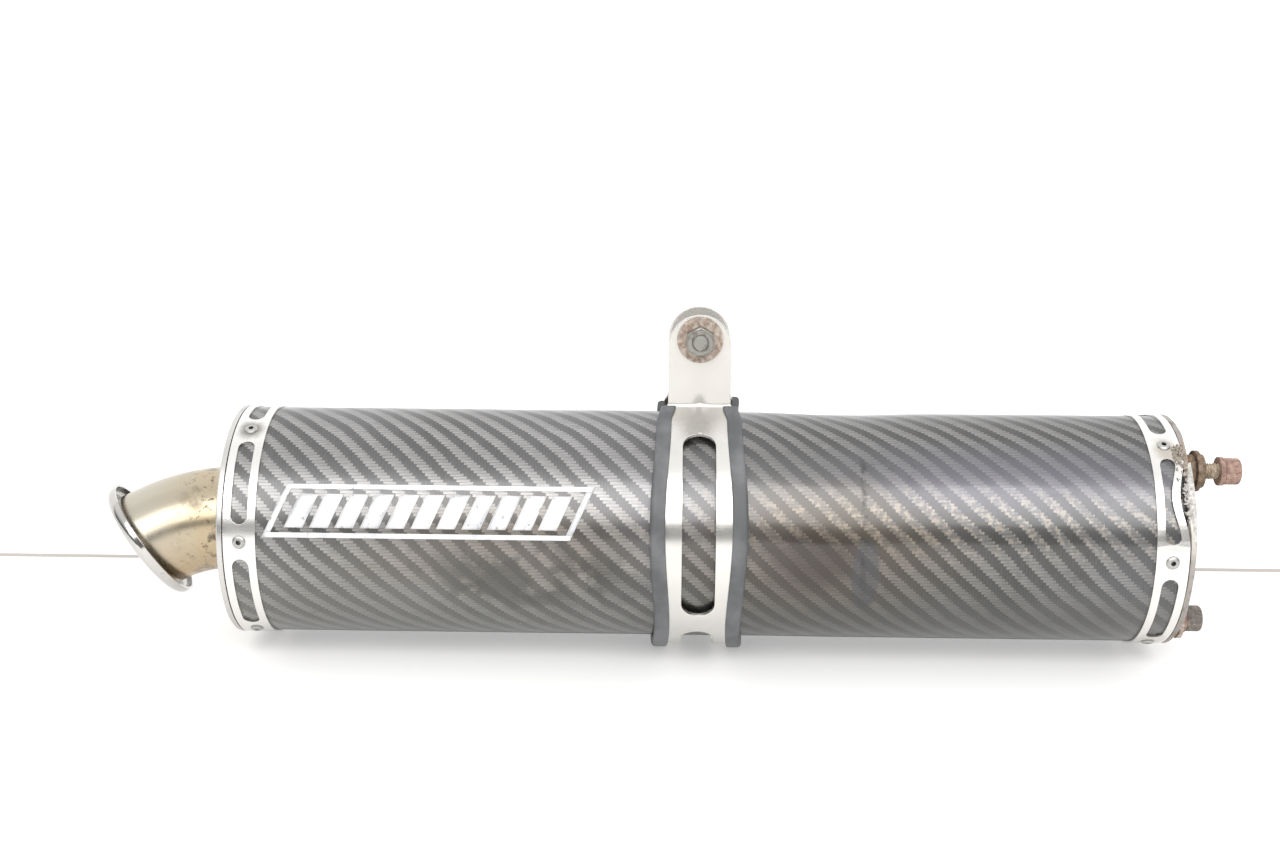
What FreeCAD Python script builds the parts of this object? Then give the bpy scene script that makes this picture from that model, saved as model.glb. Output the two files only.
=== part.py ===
"""Motorcycle exhaust silencer with a carbon sleeve, riveted bands, a hanger strap and a turned-down tail.

The frame is in millimetres. The origin is the centre of the inlet socket, in the plane of the three
boss faces that the link pipe bolts against. +X runs along the silencer and out of the inlet, so the
body lies on the negative side. +Z points up, where the hanger tabs stand, and -Y is the outer side.
Angles around the body are measured from -Y towards +Z.
"""
import FreeCAD, Part
import math
import os
import re
import Sketcher
from FreeCAD import Placement, Rotation, Vector

DIMENSIONS = {
    # carbon sleeve
    "sleeve_radius": 57.0,
    "sleeve_wall": 2.0,
    "inlet_band_edge": -23.5,
    "outlet_band_edge": -452.8,
    "sleeve_hidden_length": 14.5,
    # riveted bands
    "band_width": 15.6,
    "band_sheet": 1.0,
    "band_slot_width": 8.0,
    "band_slot_length": 42.5,
    "rivet_hole_radius": 1.65,
    "rivet_head_radius": 3.3,
    "rivet_head_height": 1.1,
    "rivet_bore_radius": 1.2,
    "rivet_set_radius": 2.3,
    "rivet_set_length": 3.2,
    "rivet_lift": 0.02,
    "outlet_rivet_turn": 5.0,
    "inlet_rivet_turn": 0.5,
    # end caps
    "cap_groove": 0.6,
    "cap_rim_width": 2.8,
    "cap_rim_radius": 57.9,
    "cap_rim_bevel": 0.6,
    "cap_sheet": 1.5,
    "cap_skirt_length": 26.0,
    "cap_recess": 7.0,
    "fit_gap": 0.05,
    # gas tubes
    "core_radius": 28.3,
    "core_wall": 1.2,
    "core_hole_radius": 2.5,
    "core_hole_pitch": 12.0,
    "socket_radius": 25.5,
    "socket_wall": 1.5,
    "socket_length": 46.0,
    "socket_setback": 1.0,
    "core_inlet_end": -34.0,
    "core_outlet_end": -424.4,
    "collar_wall": 1.5,
    "collar_length": 40.0,
    "wool_thickness": 3.0,
    "packing_margin": 1.0,
    # tail pipe and its rolled lip
    "tail_radius": 26.0,
    "tail_wall": 1.2,
    "tail_inner_end": -448.0,
    "tail_bend_start": -477.0,
    "tail_bend_radius": 85.0,
    "tail_bend_angle": 26.0,
    "tail_run_out": 7.2,
    "tail_roll_about_axis": 21.7,
    "lip_tilt": 36.0,
    "lip_radius": 32.6,
    "lip_skirt": 2.0,
    "lip_neck": 1.0,
    # inlet bosses and screws
    "boss_circle_radius": 45.5,
    "boss_radius": 8.0,
    "boss_length": 13.2,
    "boss_bevel": 0.6,
    "thread_lead_in": 0.4,
    "thread_radius": 4.0,
    "thread_clearance": 0.05,
    "first_boss_turn": 55.0,
    "screw_head_radius": 6.5,
    "screw_head_height": 8.0,
    "screw_length": 25.0,
    "screw_point_bevel": 0.8,
    "screw_seat_bevel": 0.2,
    "screw_crown_round": 0.8,
    "hex_key_width": 6.0,
    "hex_key_depth": 4.5,
    "wide_washer_radius": 10.0,
    "wide_washer_sheet": 2.0,
    "small_washer_radius": 8.2,
    "small_washer_sheet": 2.2,
    "spring_washer_radius": 7.0,
    "spring_washer_sheet": 2.2,
    "spring_washer_split": 0.9,
    "spring_washer_clearance": 0.2,
    "washer_clearance": 0.3,
    "backed_out": 7.8,
    # hanger clamp
    "clamp_centre": -240.4,
    "strap_width": 38.0,
    "strap_sheet": 1.7,
    "strap_radius": 59.5,
    "strap_tangent_turn": 57.0,
    "strap_slot_width": 16.1,
    "strap_slot_angle": 92.0,
    "strap_slot_turn": 105.5,
    "tab_half_gap": 11.8,
    "tab_width": 30.8,
    "tab_arc_height": 94.2,
    "tab_hole_height": 97.5,
    "tab_hole_radius": 4.3,
    "tab_bend_radius": 3.0,
    "tab_foot_drop": 1.0,
    "trim_width": 7.4,
    "trim_lap": 3.9,
    "trim_inner_radius": 57.3,
    "trim_outer_radius": 63.0,
    # hanger bolt
    "hanger_bolt_length": 40.0,
    "hex_flats": 13.0,
    "bolt_head_height": 5.3,
    "nut_height": 8.0,
    "nut_hex_height": 6.4,
    "nut_collar_radius": 6.0,
    "bolt_bevel": 1.0,
    "nut_bevel": 1.2,
    "hanger_washer_radius": 11.2,
    "hanger_washer_sheet": 1.6,
    # badge foil
    "badge_length": 150.0,
    "badge_height": 26.0,
    "badge_centre": -370.0,
    "badge_centre_height": 20.0,
    "badge_slant": 14.0,
    "foil_lift": 0.02,
    "foil_sheet": 0.15,
}

RIVETS_PER_BAND = 6
BOSS_COUNT = 3
CORE_HOLES_ROUND = 12

doc = FreeCAD.newDocument("silencer")
sheet = doc.addObject("Spreadsheet::Sheet", "Dimensions")
for row, (alias, value) in enumerate(DIMENSIONS.items(), start=1):
    sheet.set(f"A{row}", alias)
    sheet.set(f"B{row}", str(value))
    sheet.setAlias(f"B{row}", alias)
doc.recompute()

exports = []


def size(alias):
    """The value that the spreadsheet holds under an alias."""
    return float(sheet.get(alias))


def formula(text):
    """An expression in which every alias of the sheet is written out in full."""
    def written_out(match):
        return f"Dimensions.{match.group()}" if match.group() in DIMENSIONS else match.group()

    return re.sub("[a-z_]+", written_out, text)


def evaluate(text):
    """The number that such an expression stands for, from the sheet's values."""
    total = doc.addObject("App::FeaturePython", "Scratch")
    total.addProperty("App::PropertyFloat", "Value")
    total.setExpression("Value", formula(text))
    doc.recompute()
    number = total.Value
    doc.removeObject(total.Name)
    return number


def node(obj, label):
    """Labels a finished sub-part and lists it for export."""
    obj.Label = label
    exports.append(obj)
    return obj


def origin_plane(body, role):
    return next(item for item in body.Origin.OriginFeatures if item.Role == role)


def new_body(name):
    return doc.addObject("PartDesign::Body", name)


def new_sketch(body, name, role):
    """A sketch on one of the body's own origin planes."""
    sketch = body.newObject("Sketcher::SketchObject", name)
    sketch.AttachmentSupport = [(origin_plane(body, role), "")]
    sketch.MapMode = "FlatFace"
    return sketch


def circle(sketch, radius, centre_x="0", centre_y="0"):
    """A circle whose radius and centre are bound to expressions."""
    start = Vector(evaluate(centre_x), evaluate(centre_y), 0)
    index = sketch.addGeometry(Part.Circle(start, Vector(0, 0, 1), evaluate(radius)), False)
    bind(sketch, Sketcher.Constraint("Radius", index, evaluate(radius)), radius)
    place_point(sketch, index, 3, centre_x, centre_y)
    return index


def bind(sketch, constraint, text):
    number = sketch.addConstraint(constraint)
    sketch.setExpression(f"Constraints[{number}]", formula(text))


def place_point(sketch, index, end, x_text, y_text):
    """Fixes one point of a piece of geometry at the place that two expressions give."""
    bind(sketch, Sketcher.Constraint("DistanceX", -1, 1, index, end, evaluate(x_text)), x_text)
    bind(sketch, Sketcher.Constraint("DistanceY", -1, 1, index, end, evaluate(y_text)), y_text)


def polygon(sketch, corners):
    """A closed outline of straight edges through corners that are pairs of expressions."""
    places = [Vector(evaluate(x_text), evaluate(y_text), 0) for x_text, y_text in corners]
    first = sketch.GeometryCount
    count = len(corners)
    for index, place in enumerate(places):
        sketch.addGeometry(Part.LineSegment(place, places[(index + 1) % count]), False)
    for index in range(count):
        following = first + (index + 1) % count
        sketch.addConstraint(Sketcher.Constraint("Coincident", first + index, 2, following, 1))
    for index, (x_text, y_text) in enumerate(corners):
        place_point(sketch, first + index, 1, x_text, y_text)


def obround(sketch, length, width, centre_x):
    """A slot outline that stands upright in the sketch, with round ends."""
    half = evaluate(f"({length} - {width}) / 2")
    radius = evaluate(f"{width} / 2")
    middle = evaluate(centre_x)
    right = sketch.addGeometry(Part.LineSegment(Vector(middle + radius, -half, 0),
                                                Vector(middle + radius, half, 0)), False)
    top = sketch.addGeometry(Part.ArcOfCircle(
        Part.Circle(Vector(middle, half, 0), Vector(0, 0, 1), radius), 0, math.pi), False)
    left = sketch.addGeometry(Part.LineSegment(Vector(middle - radius, half, 0),
                                               Vector(middle - radius, -half, 0)), False)
    bottom = sketch.addGeometry(Part.ArcOfCircle(
        Part.Circle(Vector(middle, -half, 0), Vector(0, 0, 1), radius), math.pi, 2 * math.pi), False)
    sketch.addConstraint([
        Sketcher.Constraint("Tangent", right, 2, top, 1),
        Sketcher.Constraint("Tangent", top, 2, left, 1),
        Sketcher.Constraint("Tangent", left, 2, bottom, 1),
        Sketcher.Constraint("Tangent", bottom, 2, right, 1),
    ])
    bind(sketch, Sketcher.Constraint("Radius", top, radius), f"{width} / 2")
    place_point(sketch, top, 3, centre_x, f"({length} - {width}) / 2")
    place_point(sketch, bottom, 3, centre_x, f"({width} - {length}) / 2")


def revolve(body, sketch):
    """Turns a profile in the XZ plane right round the silencer's axis."""
    turned = body.newObject("PartDesign::Revolution", f"{body.Name}Turned")
    turned.Profile = sketch
    turned.ReferenceAxis = (sketch, ["H_Axis"])
    turned.Angle = 360
    sketch.Visibility = False
    doc.recompute()
    return turned


def tube(name, start, end, outer, inner):
    """A straight tube round the X axis, padded from two circles."""
    body = new_body(name)
    sketch = new_sketch(body, f"{name}Section", "YZ_Plane")
    sketch.setExpression("AttachmentOffset.Base.z", formula(end))
    circle(sketch, outer)
    circle(sketch, inner)
    pad = body.newObject("PartDesign::Pad", f"{name}Pad")
    pad.Profile = sketch
    pad.setExpression("Length", formula(f"{start} - ({end})"))
    doc.recompute()
    return body


def cut_through(body, sketch, name, depth):
    """Pockets a sketch of the XZ plane outwards, and makes sure that it took metal away."""
    before = body.Shape.Volume
    pocket = body.newObject("PartDesign::Pocket", name)
    pocket.Profile = sketch
    pocket.Length = depth
    doc.recompute()
    if body.Shape.Volume >= before - 1e-6:
        pocket.Reversed = True
        doc.recompute()
    if body.Shape.Volume >= before - 1e-6:
        raise RuntimeError(f"{name} takes nothing away")
    return pocket


def polar(body, features, name, count):
    """Repeats features evenly round the X axis."""
    pattern = body.newObject("PartDesign::PolarPattern", name)
    pattern.Originals = features
    pattern.Axis = (origin_plane(body, "X_Axis"), [""])
    pattern.Angle = 360
    pattern.Occurrences = count
    body.Tip = pattern
    doc.recompute()
    return pattern


def turned_sketch(body, name, turn):
    """A sketch in the XZ plane, swung round the X axis so that it faces the given angle."""
    sketch = new_sketch(body, name, "XZ_Plane")
    sketch.AttachmentOffset = Placement(Vector(), Rotation(Vector(1, 0, 0), -turn))
    return sketch


def rivet_holes(body, name, centre_x, turn):
    """Six rivet holes round one end of a sheet-metal or carbon shell."""
    sketch = turned_sketch(body, f"{name}Sketch", turn)
    circle(sketch, "rivet_hole_radius", centre_x)
    hole = cut_through(body, sketch, name, size("sleeve_radius") * 2)
    polar(body, [hole], f"{name}Ring", RIVETS_PER_BAND)


# --------------------------------------------------------------------------- places along the axis
OUTLET_BAND_END = "outlet_band_edge - band_width"
INLET_BAND_END = "inlet_band_edge + band_width"
OUTLET_RIVET_X = "outlet_band_edge - band_width / 2"
INLET_RIVET_X = "inlet_band_edge + band_width / 2"
OUTLET_CAP_FACE = "outlet_band_edge - band_width - cap_groove - cap_rim_width"
INLET_CAP_FACE = "inlet_band_edge + band_width + cap_groove + cap_rim_width"
SKIRT_RADIUS = "sleeve_radius - sleeve_wall - fit_gap"
WASHER_BORE = "thread_radius + washer_clearance"
CLAMP_SIDES = {"outlet": -1, "inlet": 1}


def carbon_sleeve():
    body = tube("CarbonSleeve", "inlet_band_edge + sleeve_hidden_length",
                "outlet_band_edge - sleeve_hidden_length", "sleeve_radius", "sleeve_radius - sleeve_wall")
    rivet_holes(body, "OutletSleeveHoles", OUTLET_RIVET_X, size("outlet_rivet_turn"))
    rivet_holes(body, "InletSleeveHoles", INLET_RIVET_X, size("inlet_rivet_turn"))
    node(body, "carbon_sleeve")


def band(name, label, start, end, rivet_x, turn):
    """A polished band: six long windows between six rivet holes."""
    inner = "sleeve_radius + fit_gap"
    body = tube(name, start, end, f"{inner} + band_sheet", inner)
    holes = turned_sketch(body, f"{name}HoleSketch", turn)
    circle(holes, "rivet_hole_radius", rivet_x)
    hole = cut_through(body, holes, f"{name}Hole", size("sleeve_radius") * 2)
    windows = turned_sketch(body, f"{name}WindowSketch", turn + 180 / RIVETS_PER_BAND)
    obround(windows, "band_slot_length", "band_slot_width", rivet_x)
    window = cut_through(body, windows, f"{name}Window", size("sleeve_radius") * 2)
    polar(body, [hole, window], f"{name}Ring", RIVETS_PER_BAND)
    node(body, label)


def rivets(name, label, rivet_x, turn):
    """Six dome-headed blind rivets: head outside the band, shank, and set end inside the cap skirt.

    The profile stands upright in its sketch, so the sketch is swung back by a right angle.
    """
    base = "sleeve_radius + fit_gap + band_sheet"
    shank = "rivet_hole_radius - fit_gap"
    skirt_inside = "sleeve_radius - sleeve_wall - fit_gap - cap_sheet"
    body = new_body(name)
    body.AllowCompound = True
    sketch = turned_sketch(body, f"{name}Profile", turn - 90)
    profile = [
        (f"{rivet_x} + rivet_bore_radius", f"{base} + rivet_head_height"),
        (f"{rivet_x} + 0.67 * rivet_head_radius", f"{base} + 0.9 * rivet_head_height"),
        (f"{rivet_x} + 0.9 * rivet_head_radius", f"{base} + 0.55 * rivet_head_height"),
        (f"{rivet_x} + rivet_head_radius", f"{base} + rivet_lift"),
        (f"{rivet_x} + {shank}", f"{base} + rivet_lift"),
        (f"{rivet_x} + {shank}", f"{skirt_inside} - fit_gap"),
        (f"{rivet_x} + rivet_set_radius", f"{skirt_inside} - fit_gap"),
        (f"{rivet_x} + rivet_set_radius", f"{skirt_inside} - 0.75 * rivet_set_length"),
        (f"{rivet_x} + rivet_bore_radius", f"{skirt_inside} - rivet_set_length"),
    ]
    polygon(sketch, profile)
    axis = sketch.addGeometry(Part.LineSegment(Vector(evaluate(rivet_x), 0, 0),
                                               Vector(evaluate(rivet_x), 10, 0)), True)
    sketch.addConstraint(Sketcher.Constraint("Vertical", axis))
    place_point(sketch, axis, 1, rivet_x, "0")
    turned = body.newObject("PartDesign::Revolution", f"{name}Turned")
    turned.Profile = sketch
    turned.ReferenceAxis = (sketch, ["Axis0"])
    turned.Angle = 360
    doc.recompute()
    polar(body, [turned], f"{name}Ring", RIVETS_PER_BAND)
    node(body, label)


def cap_body(name, face, inward, hole):
    """A spun cup: rim outside the sleeve's end, skirt inside it, recessed face with a tube hole."""
    body = new_body(name)
    sketch = new_sketch(body, f"{name}Profile", "XZ_Plane")
    skirt_inner = f"{SKIRT_RADIUS} - cap_sheet"
    rim_back = f"{face} {inward} cap_rim_width"
    plate_front = f"{face} {inward} cap_recess"
    polygon(sketch, [
        (face, skirt_inner),
        (face, "cap_rim_radius - cap_rim_bevel"),
        (f"{face} {inward} cap_rim_bevel", "cap_rim_radius"),
        (rim_back, "cap_rim_radius"),
        (rim_back, SKIRT_RADIUS),
        (f"{face} {inward} cap_skirt_length", SKIRT_RADIUS),
        (f"{face} {inward} cap_skirt_length", skirt_inner),
        (f"{plate_front} {inward} cap_sheet", skirt_inner),
        (f"{plate_front} {inward} cap_sheet", hole),
        (plate_front, hole),
        (plate_front, skirt_inner),
    ])
    revolve(body, sketch)
    return body


def outlet_end_cap():
    body = cap_body("OutletEndCap", OUTLET_CAP_FACE, "+", "tail_radius + collar_wall + 2 * fit_gap")
    rivet_holes(body, "OutletCapHoles", OUTLET_RIVET_X, size("outlet_rivet_turn"))
    node(body, "outlet_end_cap")


def boss_place(index):
    """The placement that carries something made on the X axis to one of the three bosses."""
    turn = math.radians(size("first_boss_turn") - index * 360 / BOSS_COUNT)
    radius = size("boss_circle_radius")
    return Placement(Vector(0, -radius * math.cos(turn), radius * math.sin(turn)), Rotation())


def inlet_end_cap():
    body = cap_body("InletEndCap", INLET_CAP_FACE, "-", "socket_radius + socket_wall + fit_gap")
    rivet_holes(body, "InletCapHoles", INLET_RIVET_X, size("inlet_rivet_turn"))
    sketch = new_sketch(body, "BossHoleSketch", "YZ_Plane")
    for index in range(BOSS_COUNT):
        turn = f"first_boss_turn - {index * 360 // BOSS_COUNT}"
        circle(sketch, "boss_radius + fit_gap",
               f"0 - boss_circle_radius * cos({turn})",
               f"boss_circle_radius * sin({turn})")
    holes = cut_through(body, sketch, "BossHoles", size("boss_length") * 1.5)
    body.Tip = holes
    node(body, "inlet_end_cap")


def inlet_bosses():
    """Three weld-in bosses, tapped right through, that the link pipe's screws go into."""
    body = new_body("InletBosses")
    body.AllowCompound = True
    sketch = new_sketch(body, "BossProfile", "XZ_Plane")
    bore = "thread_radius"
    polygon(sketch, [
        ("0", f"boss_circle_radius + {bore} + thread_lead_in"),
        ("0", "boss_circle_radius + boss_radius - boss_bevel"),
        ("0 - boss_bevel", "boss_circle_radius + boss_radius"),
        ("0 - boss_length", "boss_circle_radius + boss_radius"),
        ("0 - boss_length", f"boss_circle_radius + {bore}"),
        ("0 - thread_lead_in", f"boss_circle_radius + {bore}"),
    ])
    axis = sketch.addGeometry(Part.LineSegment(Vector(0, size("boss_circle_radius"), 0),
                                               Vector(10, size("boss_circle_radius"), 0)), True)
    sketch.addConstraint(Sketcher.Constraint("Horizontal", axis))
    place_point(sketch, axis, 1, "0", "boss_circle_radius")
    turned = body.newObject("PartDesign::Revolution", "BossTurned")
    turned.Profile = sketch
    turned.ReferenceAxis = (sketch, ["Axis0"])
    turned.Angle = 360
    doc.recompute()
    polar(body, [turned], "BossRing", BOSS_COUNT)
    body.Placement = Placement(Vector(), Rotation(Vector(1, 0, 0), 90 - size("first_boss_turn")))
    node(body, "inlet_bosses")


def inlet_socket():
    body = tube("InletSocket", "0 - socket_setback", "0 - socket_length",
                "socket_radius + socket_wall", "socket_radius")
    node(body, "inlet_socket")


def outlet_collar():
    start = f"{OUTLET_CAP_FACE} + cap_recess - cap_sheet / 3"
    body = tube("OutletCollar", f"{start} + collar_length", start,
                "tail_radius + fit_gap + collar_wall", "tail_radius + fit_gap")
    node(body, "outlet_collar")


def perforated_core():
    """The gas tube: staggered rings of round holes all along its middle."""
    body = tube("CoreTube", "core_inlet_end", "core_outlet_end", "core_radius", "core_radius - core_wall")
    pitch = size("core_hole_pitch")
    first = size("core_inlet_end") - 2 * pitch
    rings = int((first - size("core_outlet_end") - 2 * pitch) // pitch)
    drills = []
    for ring in range(rings):
        for step in range(CORE_HOLES_ROUND // 2):
            turn = math.radians((step + 0.5 * (ring % 2)) * 360 / CORE_HOLES_ROUND)
            across = Vector(0, math.cos(turn), math.sin(turn))
            reach = size("core_radius") * 1.2
            foot = Vector(first - ring * pitch, 0, 0) - across * reach
            drills.append(Part.makeCylinder(size("core_hole_radius"), 2 * reach, foot, across))
    drill_set = doc.addObject("Part::Feature", "CoreDrills")
    drill_set.Shape = Part.makeCompound(drills)
    core = doc.addObject("Part::Cut", "PerforatedCore")
    core.Base = body
    core.Tool = drill_set
    doc.recompute()
    node(core, "perforated_core")


def packing():
    """Steel wool next to the core, and glass fibre out to the sleeve."""
    wool_inner = "core_radius + fit_gap"
    wool_outer = f"{wool_inner} + wool_thickness"
    wool_end = f"{OUTLET_CAP_FACE} + cap_recess + collar_length"
    node(tube("SteelWool", "0 - socket_length - packing_margin", wool_end, wool_outer, wool_inner),
         "steel_wool_wrap")
    node(tube("GlassFibre", f"{INLET_CAP_FACE} - cap_skirt_length - packing_margin",
              f"{OUTLET_CAP_FACE} + cap_skirt_length + packing_margin",
              f"{SKIRT_RADIUS}", f"{wool_outer} + fit_gap"), "glass_fibre_packing")


# ------------------------------------------------------------------------------------ tail pipe
def tail_path(run_out):
    """The tail pipe's centre line: straight stub, one bend downwards, and a straight run-out."""
    bend = size("tail_bend_radius")
    turn = math.radians(size("tail_bend_angle"))
    start = Vector(size("tail_inner_end"), 0, 0)
    corner = Vector(size("tail_bend_start"), 0, 0)
    middle = corner + Vector(-bend * math.sin(turn / 2), 0, -bend * (1 - math.cos(turn / 2)))
    bent = corner + Vector(-bend * math.sin(turn), 0, -bend * (1 - math.cos(turn)))
    end = bent + Vector(-math.cos(turn), 0, -math.sin(turn)) * run_out
    edges = [Part.LineSegment(start, corner), Part.Arc(corner, middle, bent), Part.LineSegment(bent, end)]
    return Part.Wire([edge.toShape() for edge in edges]), end


def swept_rod(name, radius, path):
    """A solid round rod along a path that starts on the X axis."""
    spine = doc.addObject("Part::Feature", f"{name}Spine")
    spine.Shape = path
    section = doc.addObject("Part::Circle", f"{name}Section")
    section.setExpression("Radius", formula(radius))
    section.Placement = Placement(path.Vertexes[0].Point, Rotation(Vector(0, 0, 1), Vector(-1, 0, 0)))
    rod = doc.addObject("Part::Sweep", name)
    rod.Sections = [section]
    rod.Spine = (spine, [f"Edge{number + 1}" for number in range(len(path.Edges))])
    rod.Solid = True
    rod.Frenet = False
    doc.recompute()
    return rod


def lip_normal():
    tilt = math.radians(size("lip_tilt"))
    return Vector(-math.cos(tilt), 0, -math.sin(tilt))


def tail_pipe():
    """A thin bent tube, cut off on a slant where the rolled lip begins."""
    spare = 4 * size("lip_radius")
    overrun = size("tail_radius") / 2
    path, _ = tail_path(size("tail_run_out") + overrun)
    tube_shell = doc.addObject("Part::Cut", "TailTube")
    tube_shell.Base = swept_rod("TailOuter", "tail_radius", path)
    tube_shell.Tool = swept_rod("TailInner", "tail_radius - tail_wall", path)
    _, lip_centre = tail_path(size("tail_run_out"))
    slant = doc.addObject("Part::Box", "TailSlant")
    slant.Length = spare
    slant.Width = spare
    slant.Height = spare
    facing = Rotation(Vector(0, 0, 1), lip_normal())
    corner = facing.multVec(Vector(-spare / 2, -spare / 2, -size("lip_neck")))
    slant.Placement = Placement(lip_centre + corner, facing)
    trimmed = doc.addObject("Part::Cut", "TailPipe")
    trimmed.Base = tube_shell
    trimmed.Tool = slant
    trimmed.Placement = tail_roll()
    doc.recompute()
    node(trimmed, "tail_pipe")


def tail_roll():
    """The bend hangs down and a little to the outer side."""
    return Placement(Vector(), Rotation(Vector(1, 0, 0), -size("tail_roll_about_axis")))


def tail_pipe_lip():
    """The mouth: sheet rolled forwards and back over a half circle, open at the rear."""
    body = new_body("TailPipeLip")
    sketch = new_sketch(body, "LipProfile", "XZ_Plane")
    bore = size("tail_radius") - size("tail_wall")
    outer_roll = (size("lip_radius") - bore) / 2
    inner_roll = outer_roll - size("tail_wall")
    roll_centre = Vector(0, bore + outer_roll, 0)
    neck = -size("lip_neck")
    skirt = -size("lip_skirt")
    front = Part.ArcOfCircle(Part.Circle(roll_centre, Vector(0, 0, 1), outer_roll),
                             -math.pi / 2, math.pi / 2)
    back = Part.ArcOfCircle(Part.Circle(roll_centre, Vector(0, 0, 1), inner_roll),
                            -math.pi / 2, math.pi / 2)
    low, high = bore, size("lip_radius")
    inner_low, inner_high = low + size("tail_wall"), high - size("tail_wall")
    lines = [
        ((neck, low), (0, low)),
        ((0, high), (skirt, high)),
        ((skirt, high), (skirt, inner_high)),
        ((skirt, inner_high), (0, inner_high)),
        ((0, inner_low), (neck, inner_low)),
        ((neck, inner_low), (neck, low)),
    ]
    outer_arc = sketch.addGeometry(front, False)
    inner_arc = sketch.addGeometry(back, False)
    legs = [sketch.addGeometry(Part.LineSegment(Vector(*a, 0), Vector(*b, 0)), False) for a, b in lines]
    joints = [(legs[0], 2, outer_arc, 1), (outer_arc, 2, legs[1], 1), (legs[1], 2, legs[2], 1),
              (legs[2], 2, legs[3], 1), (legs[3], 2, inner_arc, 2), (inner_arc, 1, legs[4], 1),
              (legs[4], 2, legs[5], 1), (legs[5], 2, legs[0], 1)]
    for first, first_end, second, second_end in joints:
        sketch.addConstraint(Sketcher.Constraint("Coincident", first, first_end, second, second_end))
    for leg in (legs[0], legs[1], legs[3], legs[4]):
        sketch.addConstraint(Sketcher.Constraint("Horizontal", leg))
    for leg in (legs[2], legs[5]):
        sketch.addConstraint(Sketcher.Constraint("Vertical", leg))
    place_point(sketch, outer_arc, 1, "0", "tail_radius - tail_wall")
    place_point(sketch, legs[1], 2, "0 - lip_skirt", "lip_radius")
    place_point(sketch, legs[5], 1, "0 - lip_neck", "tail_radius")
    revolve(body, sketch)
    _, centre = tail_path(size("tail_run_out"))
    facing = Rotation(Vector(1, 0, 0), lip_normal())
    body.Placement = tail_roll().multiply(Placement(centre, facing))
    node(body, "tail_pipe_lip")


# ------------------------------------------------------------------------- washers and cap screws
def washer(name, outer, inner, sheet_text):
    """A plain washer on the X axis, its rear face at x = 0."""
    return tube(name, sheet_text, "0", outer, inner)


def spring_washer(name):
    """A split spring washer on the X axis, its rear face at x = 0."""
    ring = washer(f"{name}Ring", "spring_washer_radius", "thread_radius + spring_washer_clearance",
                  "spring_washer_sheet")
    reach = 2 * size("spring_washer_radius")
    width = size("spring_washer_split")
    slant = Rotation(Vector(0, 0, 1), 25)
    split = doc.addObject("Part::Box", f"{name}Split")
    split.Length = reach
    split.Width = width
    split.Height = reach
    split.Placement = Placement(slant.multVec(Vector(-reach / 2, -width / 2, 0)), slant)
    cut = doc.addObject("Part::Cut", name)
    cut.Base = ring
    cut.Tool = split
    doc.recompute()
    return cut


def cap_screw(name):
    """A socket-head screw on the X axis, head towards +X, the underside of its head at x = 0."""
    body = new_body(f"{name}Blank")
    sketch = new_sketch(body, f"{name}Profile", "XZ_Plane")
    shank = "thread_radius - thread_clearance"
    polygon(sketch, [
        ("0 - screw_length", "0"),
        ("0 - screw_length", f"{shank} - screw_point_bevel"),
        ("screw_point_bevel - screw_length", shank),
        ("0", shank),
        ("0", "screw_head_radius - screw_seat_bevel"),
        ("screw_seat_bevel", "screw_head_radius"),
        ("screw_head_height - screw_crown_round", "screw_head_radius"),
        ("screw_head_height - 0.3 * screw_crown_round", "screw_head_radius - 0.3 * screw_crown_round"),
        ("screw_head_height", "screw_head_radius - screw_crown_round"),
        ("screw_head_height", "0"),
    ])
    revolve(body, sketch)
    key = doc.addObject("Part::Prism", f"{name}Key")
    key.Polygon = 6
    key.setExpression("Circumradius", formula("hex_key_width / sqrt(3)"))
    key.setExpression("Height", formula("2 * screw_head_height"))
    key.Placement = Placement(Vector(size("screw_head_height") - size("hex_key_depth"), 0, 0),
                              Rotation(Vector(0, 0, 1), Vector(1, 0, 0)))
    screw = doc.addObject("Part::Cut", name)
    screw.Base = body
    screw.Tool = key
    doc.recompute()
    return screw


def shifted(place, along):
    return Placement(Vector(along, 0, 0), Rotation()).multiply(place)


def group(label, members):
    """One node that holds several separate solids."""
    gathered = doc.addObject("Part::Compound", "".join(word.title() for word in label.split("_")))
    gathered.Links = members
    doc.recompute()
    node(gathered, label)


def tight_screws():
    """The two screws that are done up: wide washer, spring washer and head, tight on the boss."""
    wide, springs, screws = [], [], []
    stack = size("wide_washer_sheet")
    for index in range(1, BOSS_COUNT):
        place = boss_place(index)
        wide.append(washer(f"TightWasher{index}", "wide_washer_radius", WASHER_BORE,
                           "wide_washer_sheet"))
        wide[-1].Placement = shifted(place, size("fit_gap"))
        springs.append(spring_washer(f"TightSpring{index}"))
        springs[-1].Placement = shifted(place, stack + 2 * size("fit_gap"))
        screws.append(cap_screw(f"TightScrew{index}"))
        screws[-1].Placement = shifted(place, stack + size("spring_washer_sheet") + 3 * size("fit_gap"))
    group("tight_inlet_washers", wide)
    group("tight_inlet_spring_washers", springs)
    group("tight_inlet_screws", screws)


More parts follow.
